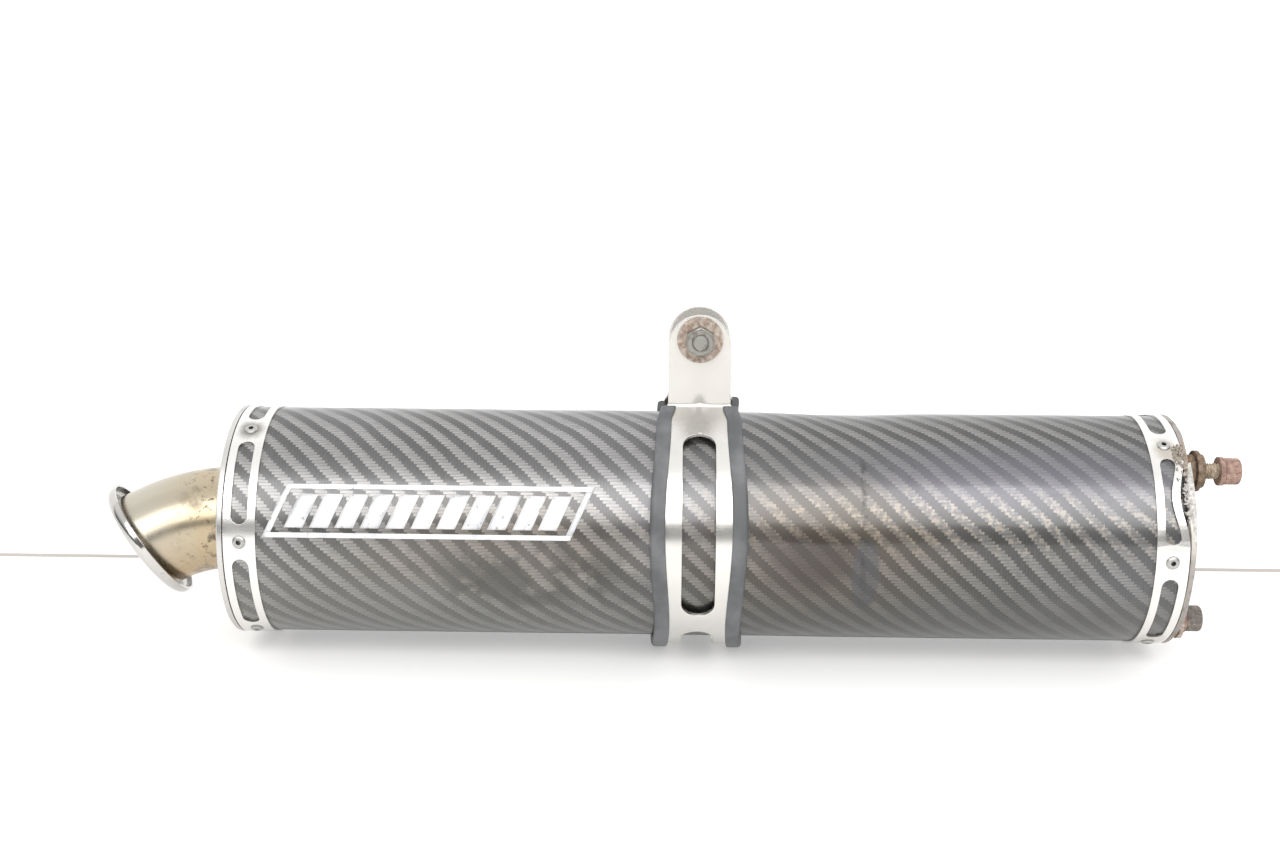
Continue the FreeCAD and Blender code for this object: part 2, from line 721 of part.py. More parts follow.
def loose_screw():
    """The third screw, backed out by some turns, with its two washers left lying on the boss."""
    place = boss_place(0)
    gap = size("fit_gap")
    wide = washer("LooseWideWasher", "wide_washer_radius", WASHER_BORE, "wide_washer_sheet")
    wide.Placement = shifted(place, gap)
    node(wide, "loose_wide_washer")
    small = washer("LooseSmallWasher", "small_washer_radius", WASHER_BORE, "small_washer_sheet")
    small.Placement = shifted(place, size("wide_washer_sheet") + 2 * gap)
    node(small, "loose_small_washer")
    stack = size("wide_washer_sheet") + size("small_washer_sheet") + 2 * gap
    spring = spring_washer("LooseSpring")
    spring.Placement = shifted(place, stack + size("backed_out"))
    node(spring, "loose_spring_washer")
    screw = cap_screw("LooseScrew")
    screw.Placement = shifted(place, stack + size("backed_out") + size("spring_washer_sheet") + gap)
    node(screw, "loose_inlet_screw")


# ---------------------------------------------------------------------------------- hanger clamp
def strap_outline():
    """The strap's end view: round the sleeve, straight off it on both sides, and up into two tabs."""
    inner = size("strap_radius")
    sheet_metal = size("strap_sheet")
    outer = inner + sheet_metal
    leave = math.radians(size("strap_tangent_turn"))
    tight, wide = size("tab_bend_radius"), size("tab_bend_radius") + sheet_metal
    top = size("tab_arc_height") + size("tab_width")
    tab_front = -(size("tab_half_gap") + sheet_metal)
    bend_y = tab_front - tight
    start = Vector(0, -outer * math.cos(leave), outer * math.sin(leave))
    along = Vector(0, math.sin(leave), math.cos(leave))
    outward = Vector(0, -math.cos(leave), math.sin(leave))
    reach = (bend_y - (start + outward * tight).y) / along.y
    bend_centre = start + outward * tight + along * reach

    def on_bend(radius, angle):
        return bend_centre + Vector(0, radius * math.cos(angle), radius * math.sin(angle))

    def both_sides(points):
        return [Vector(0, -point.y, point.z) for point in points]

    low = -(math.pi / 2 - leave)
    faces = []
    for ring, bend in ((outer, tight), (inner, wide)):
        ring_start = outward * ring
        faces.append([ring_start, on_bend(bend, low), on_bend(bend, low / 2), on_bend(bend, 0),
                      Vector(0, bend_centre.y + bend, top)])
    edges = []
    for points, ring in zip(faces, (outer, inner)):
        for side in (points, both_sides(points)):
            edges += [Part.LineSegment(side[0], side[1]), Part.Arc(side[1], side[2], side[3]),
                      Part.LineSegment(side[3], side[4])]
        edges.append(Part.Arc(points[0], Vector(0, 0, -ring), both_sides(points)[0]))
    for side in (1, -1):
        edges.append(Part.LineSegment(Vector(0, side * faces[0][4].y, top),
                                      Vector(0, side * faces[1][4].y, top)))
    wire = Part.Wire(Part.__sortEdges__([edge.toShape() for edge in edges]))
    return wire, bend_centre


def tab_trimmer():
    """What is cut off the strip to leave the two narrow, round-topped tabs."""
    _, bend_centre = strap_outline()
    half = size("tab_width") / 2
    arc_z = size("tab_arc_height")
    foot = bend_centre.z - size("tab_foot_drop")
    wide = size("strap_width")
    outside = Part.makeBox(wide, 2 * size("sleeve_radius"), 2 * wide,
                           Vector(-wide / 2, -size("sleeve_radius"), foot))
    stem = Part.makeBox(2 * half, 2 * size("sleeve_radius"), arc_z - foot,
                        Vector(-half, -size("sleeve_radius"), foot))
    cap = Part.makeCylinder(half, 2 * size("sleeve_radius"), Vector(0, -size("sleeve_radius"), arc_z),
                            Vector(0, 1, 0))
    return outside.cut(stem.fuse(cap))


def clamp_strap():
    wire, _ = strap_outline()
    width = size("strap_width")
    strip = doc.addObject("Part::Feature", "StrapStrip")
    strip.Shape = Part.Face(wire).extrude(Vector(width, 0, 0))
    strip.Placement = Placement(Vector(-width / 2, 0, 0), Rotation())
    trimmer = doc.addObject("Part::Feature", "TabTrimmer")
    trimmer.Shape = tab_trimmer()
    tools = [trimmer]
    half_angle = size("strap_slot_angle") / 2
    slot_radius = size("strap_slot_width") / 2
    for index in (-1, 0, 1):
        turn = -90 + index * size("strap_slot_turn")
        tools.append(strap_window(index, turn, half_angle, slot_radius))
    hole = doc.addObject("Part::Cylinder", "TabHoles")
    hole.setExpression("Radius", formula("tab_hole_radius"))
    hole.Height = 2 * size("sleeve_radius")
    hole.Placement = Placement(Vector(0, -size("sleeve_radius"), size("tab_hole_height")),
                               Rotation(Vector(0, 0, 1), Vector(0, 1, 0)))
    tools.append(hole)
    cutter = doc.addObject("Part::MultiFuse", "StrapCutters")
    cutter.Shapes = tools
    strap = doc.addObject("Part::Cut", "ClampStrap")
    strap.Base = strip
    strap.Tool = cutter
    strap.setExpression("Placement.Base.x", formula("clamp_centre"))
    doc.recompute()
    node(strap, "clamp_strap")


def outwards(turn, radius):
    """The point at an angle round the silencer, in the plane of the clamp's centre."""
    return Vector(0, -radius * math.cos(math.radians(turn)), radius * math.sin(math.radians(turn)))


def strap_window(index, turn, half_angle, slot_radius):
    """A long round-ended window that follows the strap for its slot angle."""
    clearance = 2 * size("strap_sheet")
    inner = size("strap_radius") - clearance
    outer = size("strap_radius") + size("strap_sheet") + clearance
    reach = half_angle - math.degrees(slot_radius / size("strap_radius"))
    aside = Vector(slot_radius, 0, 0)
    low, high = outwards(turn - reach, inner), outwards(turn - reach, outer)
    section = Part.makePolygon([low - aside, high - aside, high + aside, low + aside, low - aside])
    window = Part.Face(section).revolve(Vector(), Vector(1, 0, 0), -2 * reach)
    for end in (turn - reach, turn + reach):
        round_end = Part.makeCylinder(slot_radius, outer - inner, outwards(end, inner), outwards(end, 1))
        window = window.fuse(round_end)
    feature = doc.addObject("Part::Feature", f"StrapWindow{index + 2}")
    feature.Shape = window
    return feature


def trim_path():
    """The strap's mid-surface, from just below one tab bend, round the sleeve, to the other."""
    ring = size("strap_radius") + size("strap_sheet") / 2
    leave = size("strap_tangent_turn")
    _, bend_centre = strap_outline()
    start = outwards(leave, ring)
    along = Vector(0, math.sin(math.radians(leave)), math.cos(math.radians(leave)))
    run = (bend_centre.y - start.y) / along.y - size("tab_bend_radius")
    front = [start + along * run, start]
    back = [Vector(0, -point.y, point.z) for point in front]
    edges = [Part.LineSegment(front[0], front[1]), Part.Arc(front[1], Vector(0, 0, -ring), back[1]),
             Part.LineSegment(back[1], back[0])]
    return Part.Wire([edge.toShape() for edge in edges]), front[0], along


def edge_trim(side_name, side):
    """A rubber channel pushed on to one edge of the strap; it also keeps the strap off the carbon."""
    path, start, along = trim_path()
    spine = doc.addObject("Part::Feature", f"{side_name.title()}TrimSpine")
    spine.Shape = path
    inward = Vector(0, along.z, -along.y)
    ring = size("strap_radius") + size("strap_sheet") / 2
    deep = ring - size("trim_inner_radius")
    high = size("trim_outer_radius") - ring
    half = size("strap_sheet") / 2 + size("fit_gap")
    edge = size("strap_width") / 2
    mouth = edge - size("trim_lap")
    back = mouth + size("trim_width")
    floor = edge + size("fit_gap")
    corners = [(mouth, -high), (back, -high), (back, deep), (mouth, deep), (mouth, half), (floor, half),
               (floor, -half), (mouth, -half)]
    places = [start + Vector(side * across, 0, 0) + inward * depth for across, depth in corners]
    section = doc.addObject("Part::Feature", f"{side_name.title()}TrimSection")
    section.Shape = Part.makePolygon(places + places[:1])
    trim = doc.addObject("Part::Sweep", f"{side_name.title()}Trim")
    trim.Sections = [section]
    trim.Spine = (spine, ["Edge1", "Edge2", "Edge3"])
    trim.Solid = True
    trim.Frenet = False
    trim.setExpression("Placement.Base.x", formula("clamp_centre"))
    doc.recompute()
    node(trim, f"{side_name}_edge_trim")


def across_tabs(offset, facing=1):
    """A placement on the hanger bolt's axis: local +X points to the rear (or front, facing -1)."""
    return Placement(Vector(size("clamp_centre"), offset, size("tab_hole_height")),
                     Rotation(Vector(1, 0, 0), Vector(0, facing, 0)))


def hex_prism(name, height, start):
    prism = doc.addObject("Part::Prism", name)
    prism.Polygon = 6
    prism.setExpression("Circumradius", formula("hex_flats / sqrt(3)"))
    prism.setExpression("Height", formula(height))
    prism.Placement = Placement(Vector(start, 0, 0), Rotation(Vector(0, 0, 1), Vector(1, 0, 0)))
    return prism


def corner_turner(name, length, bevel, both_ends):
    """The turned shape that takes the corners off a hexagon: a cylinder with bevelled ends."""
    body = new_body(name)
    sketch = new_sketch(body, f"{name}Profile", "XZ_Plane")
    full = "hex_flats / sqrt(3)"
    front = [("0", f"{full} - {bevel}"), (f"{bevel} / 2", full)] if both_ends else [("0", full)]
    polygon(sketch, [("0", "0")] + front + [(f"{length} - {bevel} / 2", full),
                                            (length, f"{full} - {bevel}"), (length, "0")])
    revolve(body, sketch)
    return body


def hanger_bolt():
    """A hexagon-head bolt from the rear, through both tabs."""
    head = doc.addObject("Part::Common", "HangerBoltHead")
    head.Base = hex_prism("HangerBoltHex", "bolt_head_height", 0)
    head.Tool = corner_turner("HangerBoltBevel", "bolt_head_height", "bolt_bevel", False)
    shank_body = new_body("HangerBoltShank")
    sketch = new_sketch(shank_body, "HangerShankProfile", "XZ_Plane")
    radius = "thread_radius - thread_clearance"
    root = "bolt_head_height / 10"
    polygon(sketch, [("0 - hanger_bolt_length", "0"),
                     ("0 - hanger_bolt_length", f"{radius} - screw_point_bevel"),
                     ("screw_point_bevel - hanger_bolt_length", radius), (root, radius), (root, "0")])
    revolve(shank_body, sketch)
    bolt = doc.addObject("Part::Fuse", "HangerBolt")
    bolt.Base = head
    bolt.Tool = shank_body
    bolt.Placement = across_tabs(tab_outer() + size("hanger_washer_sheet") + 2 * size("fit_gap"))
    doc.recompute()
    node(bolt, "hanger_bolt")


def tab_outer():
    return size("tab_half_gap") + size("strap_sheet")


def hanger_nut():
    """A locking nut with a round collar that holds its nylon ring."""
    flats = doc.addObject("Part::Common", "HangerNutFlats")
    flats.Base = hex_prism("HangerNutHex", "nut_hex_height", 0)
    flats.Tool = corner_turner("HangerNutBevel", "nut_hex_height", "nut_bevel", True)
    collar = tube("HangerNutCollar", "nut_height", "nut_hex_height - fit_gap", "nut_collar_radius",
                  "thread_radius + thread_clearance")
    blank = doc.addObject("Part::Fuse", "HangerNutBlank")
    blank.Base = flats
    blank.Tool = collar
    bore = doc.addObject("Part::Cylinder", "HangerNutBore")
    bore.setExpression("Radius", formula("thread_radius"))
    bore.setExpression("Height", formula("3 * nut_height"))
    bore.Placement = Placement(Vector(-size("nut_height"), 0, 0),
                               Rotation(Vector(0, 0, 1), Vector(1, 0, 0)))
    nut = doc.addObject("Part::Cut", "HangerNut")
    nut.Base = blank
    nut.Tool = bore
    nut.Placement = across_tabs(-tab_outer() - size("hanger_washer_sheet") - 2 * size("fit_gap"), -1)
    doc.recompute()
    node(nut, "hanger_lock_nut")


def hanger_washers():
    washers = []
    for facing, name in ((1, "Rear"), (-1, "Front")):
        washers.append(washer(f"{name}HangerWasher", "hanger_washer_radius", WASHER_BORE,
                              "hanger_washer_sheet"))
        washers[-1].Placement = across_tabs(facing * (tab_outer() + size("fit_gap")), facing)
    group("hanger_washers", washers)


def badge_foil():
    """A plain slanted foil plate that lies on the outer side of the sleeve."""
    shell = tube("FoilShell", "badge_centre + badge_length", "badge_centre - badge_length",
                 "sleeve_radius + foil_lift + foil_sheet", "sleeve_radius + foil_lift")
    half_length, half_height = size("badge_length") / 2, size("badge_height") / 2
    lean = size("badge_slant") / 2
    centre = Vector(size("badge_centre"), -2 * size("sleeve_radius"), size("badge_centre_height"))
    corners = [(-half_length - lean, -half_height), (half_length - lean, -half_height),
               (half_length + lean, half_height), (-half_length + lean, half_height)]
    places = [centre + Vector(x, 0, z) for x, z in corners]
    stamp = doc.addObject("Part::Feature", "FoilStamp")
    outline = Part.Face(Part.makePolygon(places + places[:1]))
    stamp.Shape = outline.extrude(Vector(0, 2 * size("sleeve_radius"), 0))
    foil = doc.addObject("Part::Common", "BadgeFoil")
    foil.Base = shell
    foil.Tool = stamp
    doc.recompute()
    node(foil, "badge_foil")


def check_and_write():
    """Stops on any failed object or bad shape, then writes one file for each sub-part."""
    doc.recompute()
    for obj in doc.Objects:
        if "Invalid" in obj.State or "Error" in obj.State:
            raise RuntimeError(f"{obj.Label} failed: {obj.State}")
    for obj in exports:
        if obj.Shape.isNull() or not obj.Shape.isValid() or not obj.Shape.Solids:
            raise RuntimeError(f"{obj.Label} has no good shape")
    os.makedirs("parts", exist_ok=True)
    for obj in exports:
        obj.Shape.exportStep(f"parts/{obj.Label}.step")
        print(f"{obj.Label}: {len(obj.Shape.Solids)} solid(s), {obj.Shape.Volume / 1000:.2f} cm3")


carbon_sleeve()
outlet_end_cap()
inlet_end_cap()
band("OutletBand", "outlet_band", "outlet_band_edge", OUTLET_BAND_END, OUTLET_RIVET_X,
     size("outlet_rivet_turn"))
band("InletBand", "inlet_band", INLET_BAND_END, "inlet_band_edge", INLET_RIVET_X,
     size("inlet_rivet_turn"))
rivets("OutletRivets", "outlet_rivets", OUTLET_RIVET_X, size("outlet_rivet_turn"))
rivets("InletRivets", "inlet_rivets", INLET_RIVET_X, size("inlet_rivet_turn"))
inlet_bosses()
inlet_socket()
outlet_collar()
perforated_core()
packing()
tail_pipe()
tail_pipe_lip()
tight_screws()
loose_screw()
clamp_strap()
for side_name, side in CLAMP_SIDES.items():
    edge_trim(side_name, side)
hanger_washers()
hanger_bolt()
hanger_nut()
badge_foil()
check_and_write()
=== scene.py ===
"""Looks for a used carbon-sleeved motorcycle silencer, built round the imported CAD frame.

Everything is in metres, in the row's frame: +X runs along the silencer and out of its inlet, +Z is up
through the hanger tabs and -Y is the outer side. An angle round the body is measured from -Y towards +Z.
"""

import math
import random

import bmesh
import bpy
from mathutils import Euler, Matrix, Vector, noise


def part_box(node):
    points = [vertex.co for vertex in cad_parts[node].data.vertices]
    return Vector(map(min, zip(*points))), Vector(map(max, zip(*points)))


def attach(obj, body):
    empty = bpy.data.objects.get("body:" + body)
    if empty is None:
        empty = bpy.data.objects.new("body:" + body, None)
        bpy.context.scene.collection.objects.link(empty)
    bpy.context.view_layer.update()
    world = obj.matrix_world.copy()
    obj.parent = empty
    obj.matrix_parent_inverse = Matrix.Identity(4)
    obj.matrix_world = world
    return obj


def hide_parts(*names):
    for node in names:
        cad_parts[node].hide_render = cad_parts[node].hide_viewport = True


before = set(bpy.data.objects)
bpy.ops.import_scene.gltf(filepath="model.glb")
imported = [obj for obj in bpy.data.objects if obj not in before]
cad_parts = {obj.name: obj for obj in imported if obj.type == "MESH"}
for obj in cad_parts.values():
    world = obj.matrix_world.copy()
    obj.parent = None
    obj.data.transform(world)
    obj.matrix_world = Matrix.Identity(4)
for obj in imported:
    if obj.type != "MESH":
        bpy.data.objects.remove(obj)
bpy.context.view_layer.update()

MM = 0.001
DEG = math.pi / 180


# ------------------------------------------------------------------------------ sizes from the frame
def middle(node):
    low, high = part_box(node)
    return (low + high) / 2


SLEEVE_LOW, SLEEVE_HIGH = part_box("carbon_sleeve")
SLEEVE_R = (SLEEVE_HIGH.y - SLEEVE_LOW.y) / 2
SLEEVE_WALL = 2.0 * MM
BAND_SHEET = 1.0 * MM
BAND_R = SLEEVE_R + 0.05 * MM
CLAMP_X = middle("clamp_strap").x
STRAP_R = SLEEVE_R + 2.5 * MM
STRAP_SHEET = 1.7 * MM
TAB_HALF_GAP = 11.8 * MM
TAB_BEND = 3.0 * MM
TAB_HALF_WIDTH = 15.4 * MM
TAB_ARC_Z = 94.2 * MM
LEAVE_TURN = 57.0
SCREW_CIRCLE = 45.5 * MM
THREAD_R = 3.95 * MM
THREAD_PITCH = 1.25 * MM


def around(turn, radius, x=0.0):
    """The point at an angle round the silencer, in degrees."""
    return Vector((x, -radius * math.cos(turn * DEG), radius * math.sin(turn * DEG)))


# ------------------------------------------------------------------------------------- mesh helpers
def add_piece(name, mesh, material, body, replaced=(), smooth=True):
    """Gives a mesh its material and its body, and hides the frame nodes it replaces."""
    mesh.polygons.foreach_set("use_smooth", [smooth] * len(mesh.polygons))
    mesh.materials.clear()
    mesh.materials.append(material)
    piece = bpy.data.objects.new(name, mesh)
    bpy.context.collection.objects.link(piece)
    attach(piece, body)
    if replaced:
        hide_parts(*replaced)
    return piece


def add_mesh(name, points, faces, material, body, replaced=()):
    mesh = bpy.data.meshes.new(name)
    mesh.from_pydata([tuple(point) for point in points], [], faces)
    mesh.validate()
    return add_piece(name, mesh, material, body, replaced)


def finished(name, work):
    """The mesh of a bmesh that is no longer needed."""
    mesh = bpy.data.meshes.new(name)
    work.to_mesh(mesh)
    work.free()
    return mesh


def thickened(piece, thickness, offset=0.0):
    sheet = piece.modifiers.new("sheet", "SOLIDIFY")
    sheet.thickness = thickness
    sheet.offset = offset
    return piece


def recalculate(piece):
    """Turns every face outwards."""
    work = bmesh.new()
    work.from_mesh(piece.data)
    bmesh.ops.recalc_face_normals(work, faces=work.faces)
    work.to_mesh(piece.data)
    work.free()


def grid_faces(rows, columns, wrap_rows=False, wrap_columns=False):
    """Quads over a rows by columns net of points numbered row by row."""
    faces = []
    for row in range(rows if wrap_rows else rows - 1):
        for column in range(columns if wrap_columns else columns - 1):
            right = (column + 1) % columns
            below = (row + 1) % rows
            faces.append((row * columns + column, row * columns + right,
                          below * columns + right, below * columns + column))
    return faces


# ------------------------------------------------------------------------------------ node helpers
def new_node(tree, kind, inputs=(), **settings):
    """A node with its settings, whose inputs are plain values or other nodes' outputs."""
    made = tree.nodes.new(kind)
    for key, value in settings.items():
        setattr(made, key, value)
    for key, value in dict(inputs).items():
        if isinstance(value, bpy.types.NodeSocket):
            tree.links.new(value, made.inputs[key])
        else:
            made.inputs[key].default_value = value
    return made


class Shader:
    """A principled material with short names for the nodes that the surfaces share."""

    def __init__(self, name, colour, metallic=0.0, roughness=0.5, **sockets):
        self.material = bpy.data.materials.new(name)
        self.material.use_nodes = True
        self.tree = self.material.node_tree
        self.bsdf = self.tree.nodes["Principled BSDF"]
        self.set("Base Color", (*colour, 1.0))
        self.set("Metallic", metallic)
        self.set("Roughness", roughness)
        for socket, value in sockets.items():
            self.set(socket.replace("_", " "), value)

    def set(self, socket, value):
        self.bsdf.inputs[socket].default_value = value

    def link(self, output, socket):
        self.tree.links.new(output, self.bsdf.inputs[socket])

    def node(self, kind, inputs=(), **settings):
        return new_node(self.tree, kind, inputs, **settings)

    def math(self, operation, first, second=0.0, third=0.0):
        return self.node("ShaderNodeMath", {0: first, 1: second, 2: third}, operation=operation).outputs[0]

    def times(self, first, second):
        return self.math("MULTIPLY", first, second)

    def plus(self, first, second):
        return self.math("ADD", first, second)

    def minus(self, first, second):
        return self.math("SUBTRACT", first, second)

    def without(self, share):
        """What is left of 1 beside a share."""
        return self.math("SUBTRACT", 1.0, share)

    def place(self):
        return self.node("ShaderNodeTexCoord").outputs["Object"]

    def split(self, vector):
        return self.node("ShaderNodeSeparateXYZ", {0: vector}).outputs

    def join(self, x, y, z):
        return self.node("ShaderNodeCombineXYZ", {0: x, 1: y, 2: z}).outputs[0]

    def noise(self, scale, detail, roughness=0.55, vector=None):
        return self.node("ShaderNodeTexNoise", {"Vector": vector or self.place(), "Scale": scale,
                                                "Detail": detail, "Roughness": roughness}).outputs["Fac"]

    def wander(self, scale, detail, size):
        """Noise about nought, in all as wide as size."""
        return self.times(self.minus(self.noise(scale, detail), 0.5), size)

    def stretched_noise(self, stretch, scale, detail=3.0):
        """Noise drawn out along an axis, for brush lines, fibres and scratches."""
        mapped = self.node("ShaderNodeMapping", {"Vector": self.place(), "Scale": stretch})
        return self.noise(scale, detail, vector=mapped.outputs[0])

    def ramp(self, value, low, high):
        """0 below low, 1 above high and smooth between them."""
        made = self.node("ShaderNodeMapRange", {"Value": value, "From Min": low, "From Max": high},
                         interpolation_type="SMOOTHSTEP")
        return made.outputs[0]

    def mix(self, share, first, second, blend="MIX"):
        def colour(value):
            return value if isinstance(value, bpy.types.NodeSocket) else (*value, 1.0)
        return self.node("ShaderNodeMix", {0: share, 6: colour(first), 7: colour(second)},
                         data_type="RGBA", blend_type=blend).outputs[2]

    def tint(self, colour, share, strength, stain):
        """A colour with a stain laid over a share of it."""
        return self.mix(self.times(share, strength), colour, stain)

    def scaled(self, colour, value):
        return self.mix(1.0, colour, self.join(value, value, value), "MULTIPLY")

    def blend(self, share, first, second):
        """A number between two numbers."""
        return self.node("ShaderNodeMix", {0: share, 2: first, 3: second}, data_type="FLOAT").outputs[0]

    def bump(self, height, strength, distance):
        made = self.node("ShaderNodeBump", {"Height": height, "Strength": strength, "Distance": distance})
        self.link(made.outputs[0], "Normal")
        return made

    def wrapped(self):
        """Distance along the silencer, angle round it in degrees, and distance from its axis."""
        x, y, z = self.split(self.place())
        outward = self.times(y, -1.0)
        turn = self.math("DEGREES", self.math("ARCTAN2", z, outward))
        radius = self.math("SQRT", self.plus(self.times(y, y),
                                             self.times(z, z)))
        return x, turn, radius

    def spot(self, first, second, centre, reach, edge, ragged, scale):
        """A soft, ragged oval patch in a pair of coordinates: 1 inside it, 0 outside."""
        across = self.math("DIVIDE", self.minus(first, centre[0]), reach[0])
        along = self.math("DIVIDE", self.minus(second, centre[1]), reach[1])
        far = self.math("SQRT", self.plus(self.times(across, across),
                                          self.times(along, along)))
        far = self.plus(far, self.wander(scale, 5.0, ragged))
        return self.without(self.ramp(far, 1.0 - edge, 1.0 + edge))


# ---------------------------------------------------------------------------------------- materials
TOWS_ROUND = 232  # a whole number of eight-tow repeats, so that the weave has no seam
TOW = 360 * DEG * SLEEVE_R / TOWS_ROUND


def twill(look, x, turn, rise):
    """Four by four twill: each tow is one cell, and the bands fall to the right.

    Gives its colour, 1 where a tow runs lengthways, and its relief.
    """
    wander = look.wander(16.0, 3.0, 4.5 * MM)
    fray = look.wander(900.0, 2.0, 0.7 * MM)
    along = look.math("DIVIDE", look.plus(x, look.plus(wander, fray)), TOW)
    across = look.math("DIVIDE", look.plus(look.times(turn, SLEEVE_R * DEG), wander), TOW)
    cells = look.plus(look.math("FLOOR", along), look.math("FLOOR", across))
    step = look.math("FLOORED_MODULO", cells, 8.0)
    lengthways = look.math("LESS_THAN", step, 3.9)
    off_column, off_row = (look.math("ABSOLUTE", look.minus(look.math("FRACT", way), 0.5))
                           for way in (along, across))
    seam = look.ramp(look.blend(lengthways, off_column, off_row), 0.34, 0.5)
    fibres = look.blend(lengthways, look.stretched_noise((1.0, 0.07, 0.07), 2600.0),
                        look.stretched_noise((0.07, 1.0, 1.0), 2600.0))
    # painted light: towards the top, lengthways tows are painted lighter and the others darker, as the
    # light catches the weave there
    painted_light_upper = look.ramp(rise, -55.0, 25.0)
    light_tow = look.mix(painted_light_upper, (0.172, 0.172, 0.160), (0.248, 0.243, 0.236))
    dark_tow = look.mix(painted_light_upper, (0.098, 0.098, 0.091), (0.080, 0.079, 0.077))
    colour = look.mix(lengthways, dark_tow, light_tow)
    colour = look.scaled(colour, look.math("MULTIPLY_ADD", step, -0.055, 1.17))
    colour = look.tint(colour, look.ramp(fibres, 0.3, 0.75), 0.45, (0.02, 0.02, 0.02))
    colour = look.tint(colour, seam, 0.6, (0.025, 0.024, 0.022))
    return colour, lengthways, look.plus(look.times(seam, -0.5), look.times(fibres, 0.25))


def painted_sheen_and_shade(look, colour, x, rise, top, underside_shade):
    """Painted highlight haze washes out the weave where it faces the light, and a painted low haze flattens
    it low on the inlet side; the outlet third is made lighter, and the top and the bottom are given painted
    shade.
    """
    outlet_side = look.without(look.ramp(x, -0.30, -0.20))
    # painted highlight: where the lamp's glare falls, the weave is washed towards one grey
    painted_glare = look.times(look.ramp(rise, -10.0, 25.0), look.without(look.ramp(rise, 45.0, 70.0)))
    painted_glare = look.times(painted_glare, look.math("MULTIPLY_ADD", outlet_side, -0.30, 0.46))
    colour = look.mix(painted_glare, colour, (0.152, 0.150, 0.148))
    colour = look.scaled(colour, look.math("MULTIPLY_ADD", outlet_side, 0.40, 0.95))
    # painted shade: the top of the sleeve is tinted darker, as the light grazes it there
    colour = look.tint(colour, top, 0.20, (0.10, 0.10, 0.102))
    # painted shade: the bottom of the sleeve is tinted near black
    colour = look.tint(colour, underside_shade, 0.85, (0.022, 0.019, 0.016))
    # painted reflection haze: low on the inlet side the weave is flattened towards one grey
    painted_low_haze = look.times(look.without(look.ramp(rise, -35.0, -5.0)),
                      look.math("MULTIPLY_ADD", outlet_side, -0.35, 0.35))
    return look.mix(painted_low_haze, colour, (0.108, 0.107, 0.102))


def worn(look, colour, x, turn, lengthways):
    """Scuffs, stains, soot and a crease, with a painted glint and a painted purple reflection where the
    highlight falls. A patch is its middle and its reach in (metres, degrees), the softness and raggedness
    of its edge, and the scale of the raggedness.
    """
    def patch(*shape):
        return look.spot(x, turn, *shape)

    # painted glint: warm specks on the lengthways tows where the highlight falls
    painted_glint = look.times(patch((-0.11, 17.0), (0.15, 15.0), 0.7, 0.8, 40.0),
                         look.ramp(look.noise(420.0, 2.0), 0.47, 0.62))
    colour = look.tint(colour, look.times(painted_glint, lengthways), 0.32, (0.62, 0.53, 0.42))
    gold = look.math("MAXIMUM", patch((-0.335, 0.0), (0.065, 22.0), 0.6, 0.9, 34.0),
                     patch((-0.185, 2.0), (0.060, 30.0), 0.6, 0.9, 34.0))
    gold = look.times(gold, 0.42)
    colour = look.mix(gold, colour, (0.24, 0.165, 0.085), "SOFT_LIGHT")
    colour = look.tint(colour, gold, 0.35, (0.20, 0.15, 0.09))

    smudge = patch((-0.185, -2.0), (0.020, 14.0), 0.7, 1.2, 60.0)
    soot = look.times(patch((-0.322, -13.0), (0.052, 17.0), 0.6, 1.3, 52.0),
                      look.ramp(look.noise(48.0, 5.0), 0.46, 0.56))
    strip = patch((-0.1605, -9.0), (0.0065, 19.0), 0.12, 0.5, 120.0)
    pale = patch((-0.40, -42.0), (0.11, 40.0), 0.7, 0.5, 20.0)
    haze = look.ramp(look.noise(9.0, 3.0), 0.42, 0.7)
    # painted reflection: a purple sheen above the highlight on the inlet side
    painted_violet_sheen = patch((-0.085, 42.0), (0.075, 16.0), 0.8, 0.8, 24.0)
    off_line = look.plus(look.plus(x, 0.1600), look.times(look.noise(60.0, 4.0), 3.0 * MM))
    crease = look.without(look.ramp(look.math("ABSOLUTE", off_line), 0.4 * MM, 2.4 * MM))
    for limit in (look.without(look.ramp(turn, 38.0, 58.0)), look.ramp(look.noise(110.0, 4.0), 0.46, 0.58),
                  look.ramp(turn, -30.0, 10.0)):
        crease = look.times(crease, limit)
    nicks = look.ramp(look.noise(420.0, 3.0, 0.7), 0.74, 0.80)
    grime = look.ramp(look.noise(46.0, 6.0, 0.7), 0.56, 0.75)
    # each mark below is laid on in turn; the purple sheen among them is a painted reflection
    for share, strength, stain in (
            (smudge, 0.72, (0.048, 0.036, 0.030)), (soot, 0.72, (0.035, 0.034, 0.032)),
            (strip, 0.60, (0.060, 0.064, 0.076)), (pale, 0.30, (0.24, 0.24, 0.225)),
            (haze, 0.10, (0.45, 0.44, 0.50)), (painted_violet_sheen, 0.30, (0.19, 0.185, 0.245)),
            (crease, 0.80, (0.030, 0.029, 0.028)), (nicks, 0.60, (0.5, 0.49, 0.47)),
            (grime, 0.35, (0.045, 0.043, 0.038))):
        colour = look.tint(colour, share, strength, stain)
    return colour


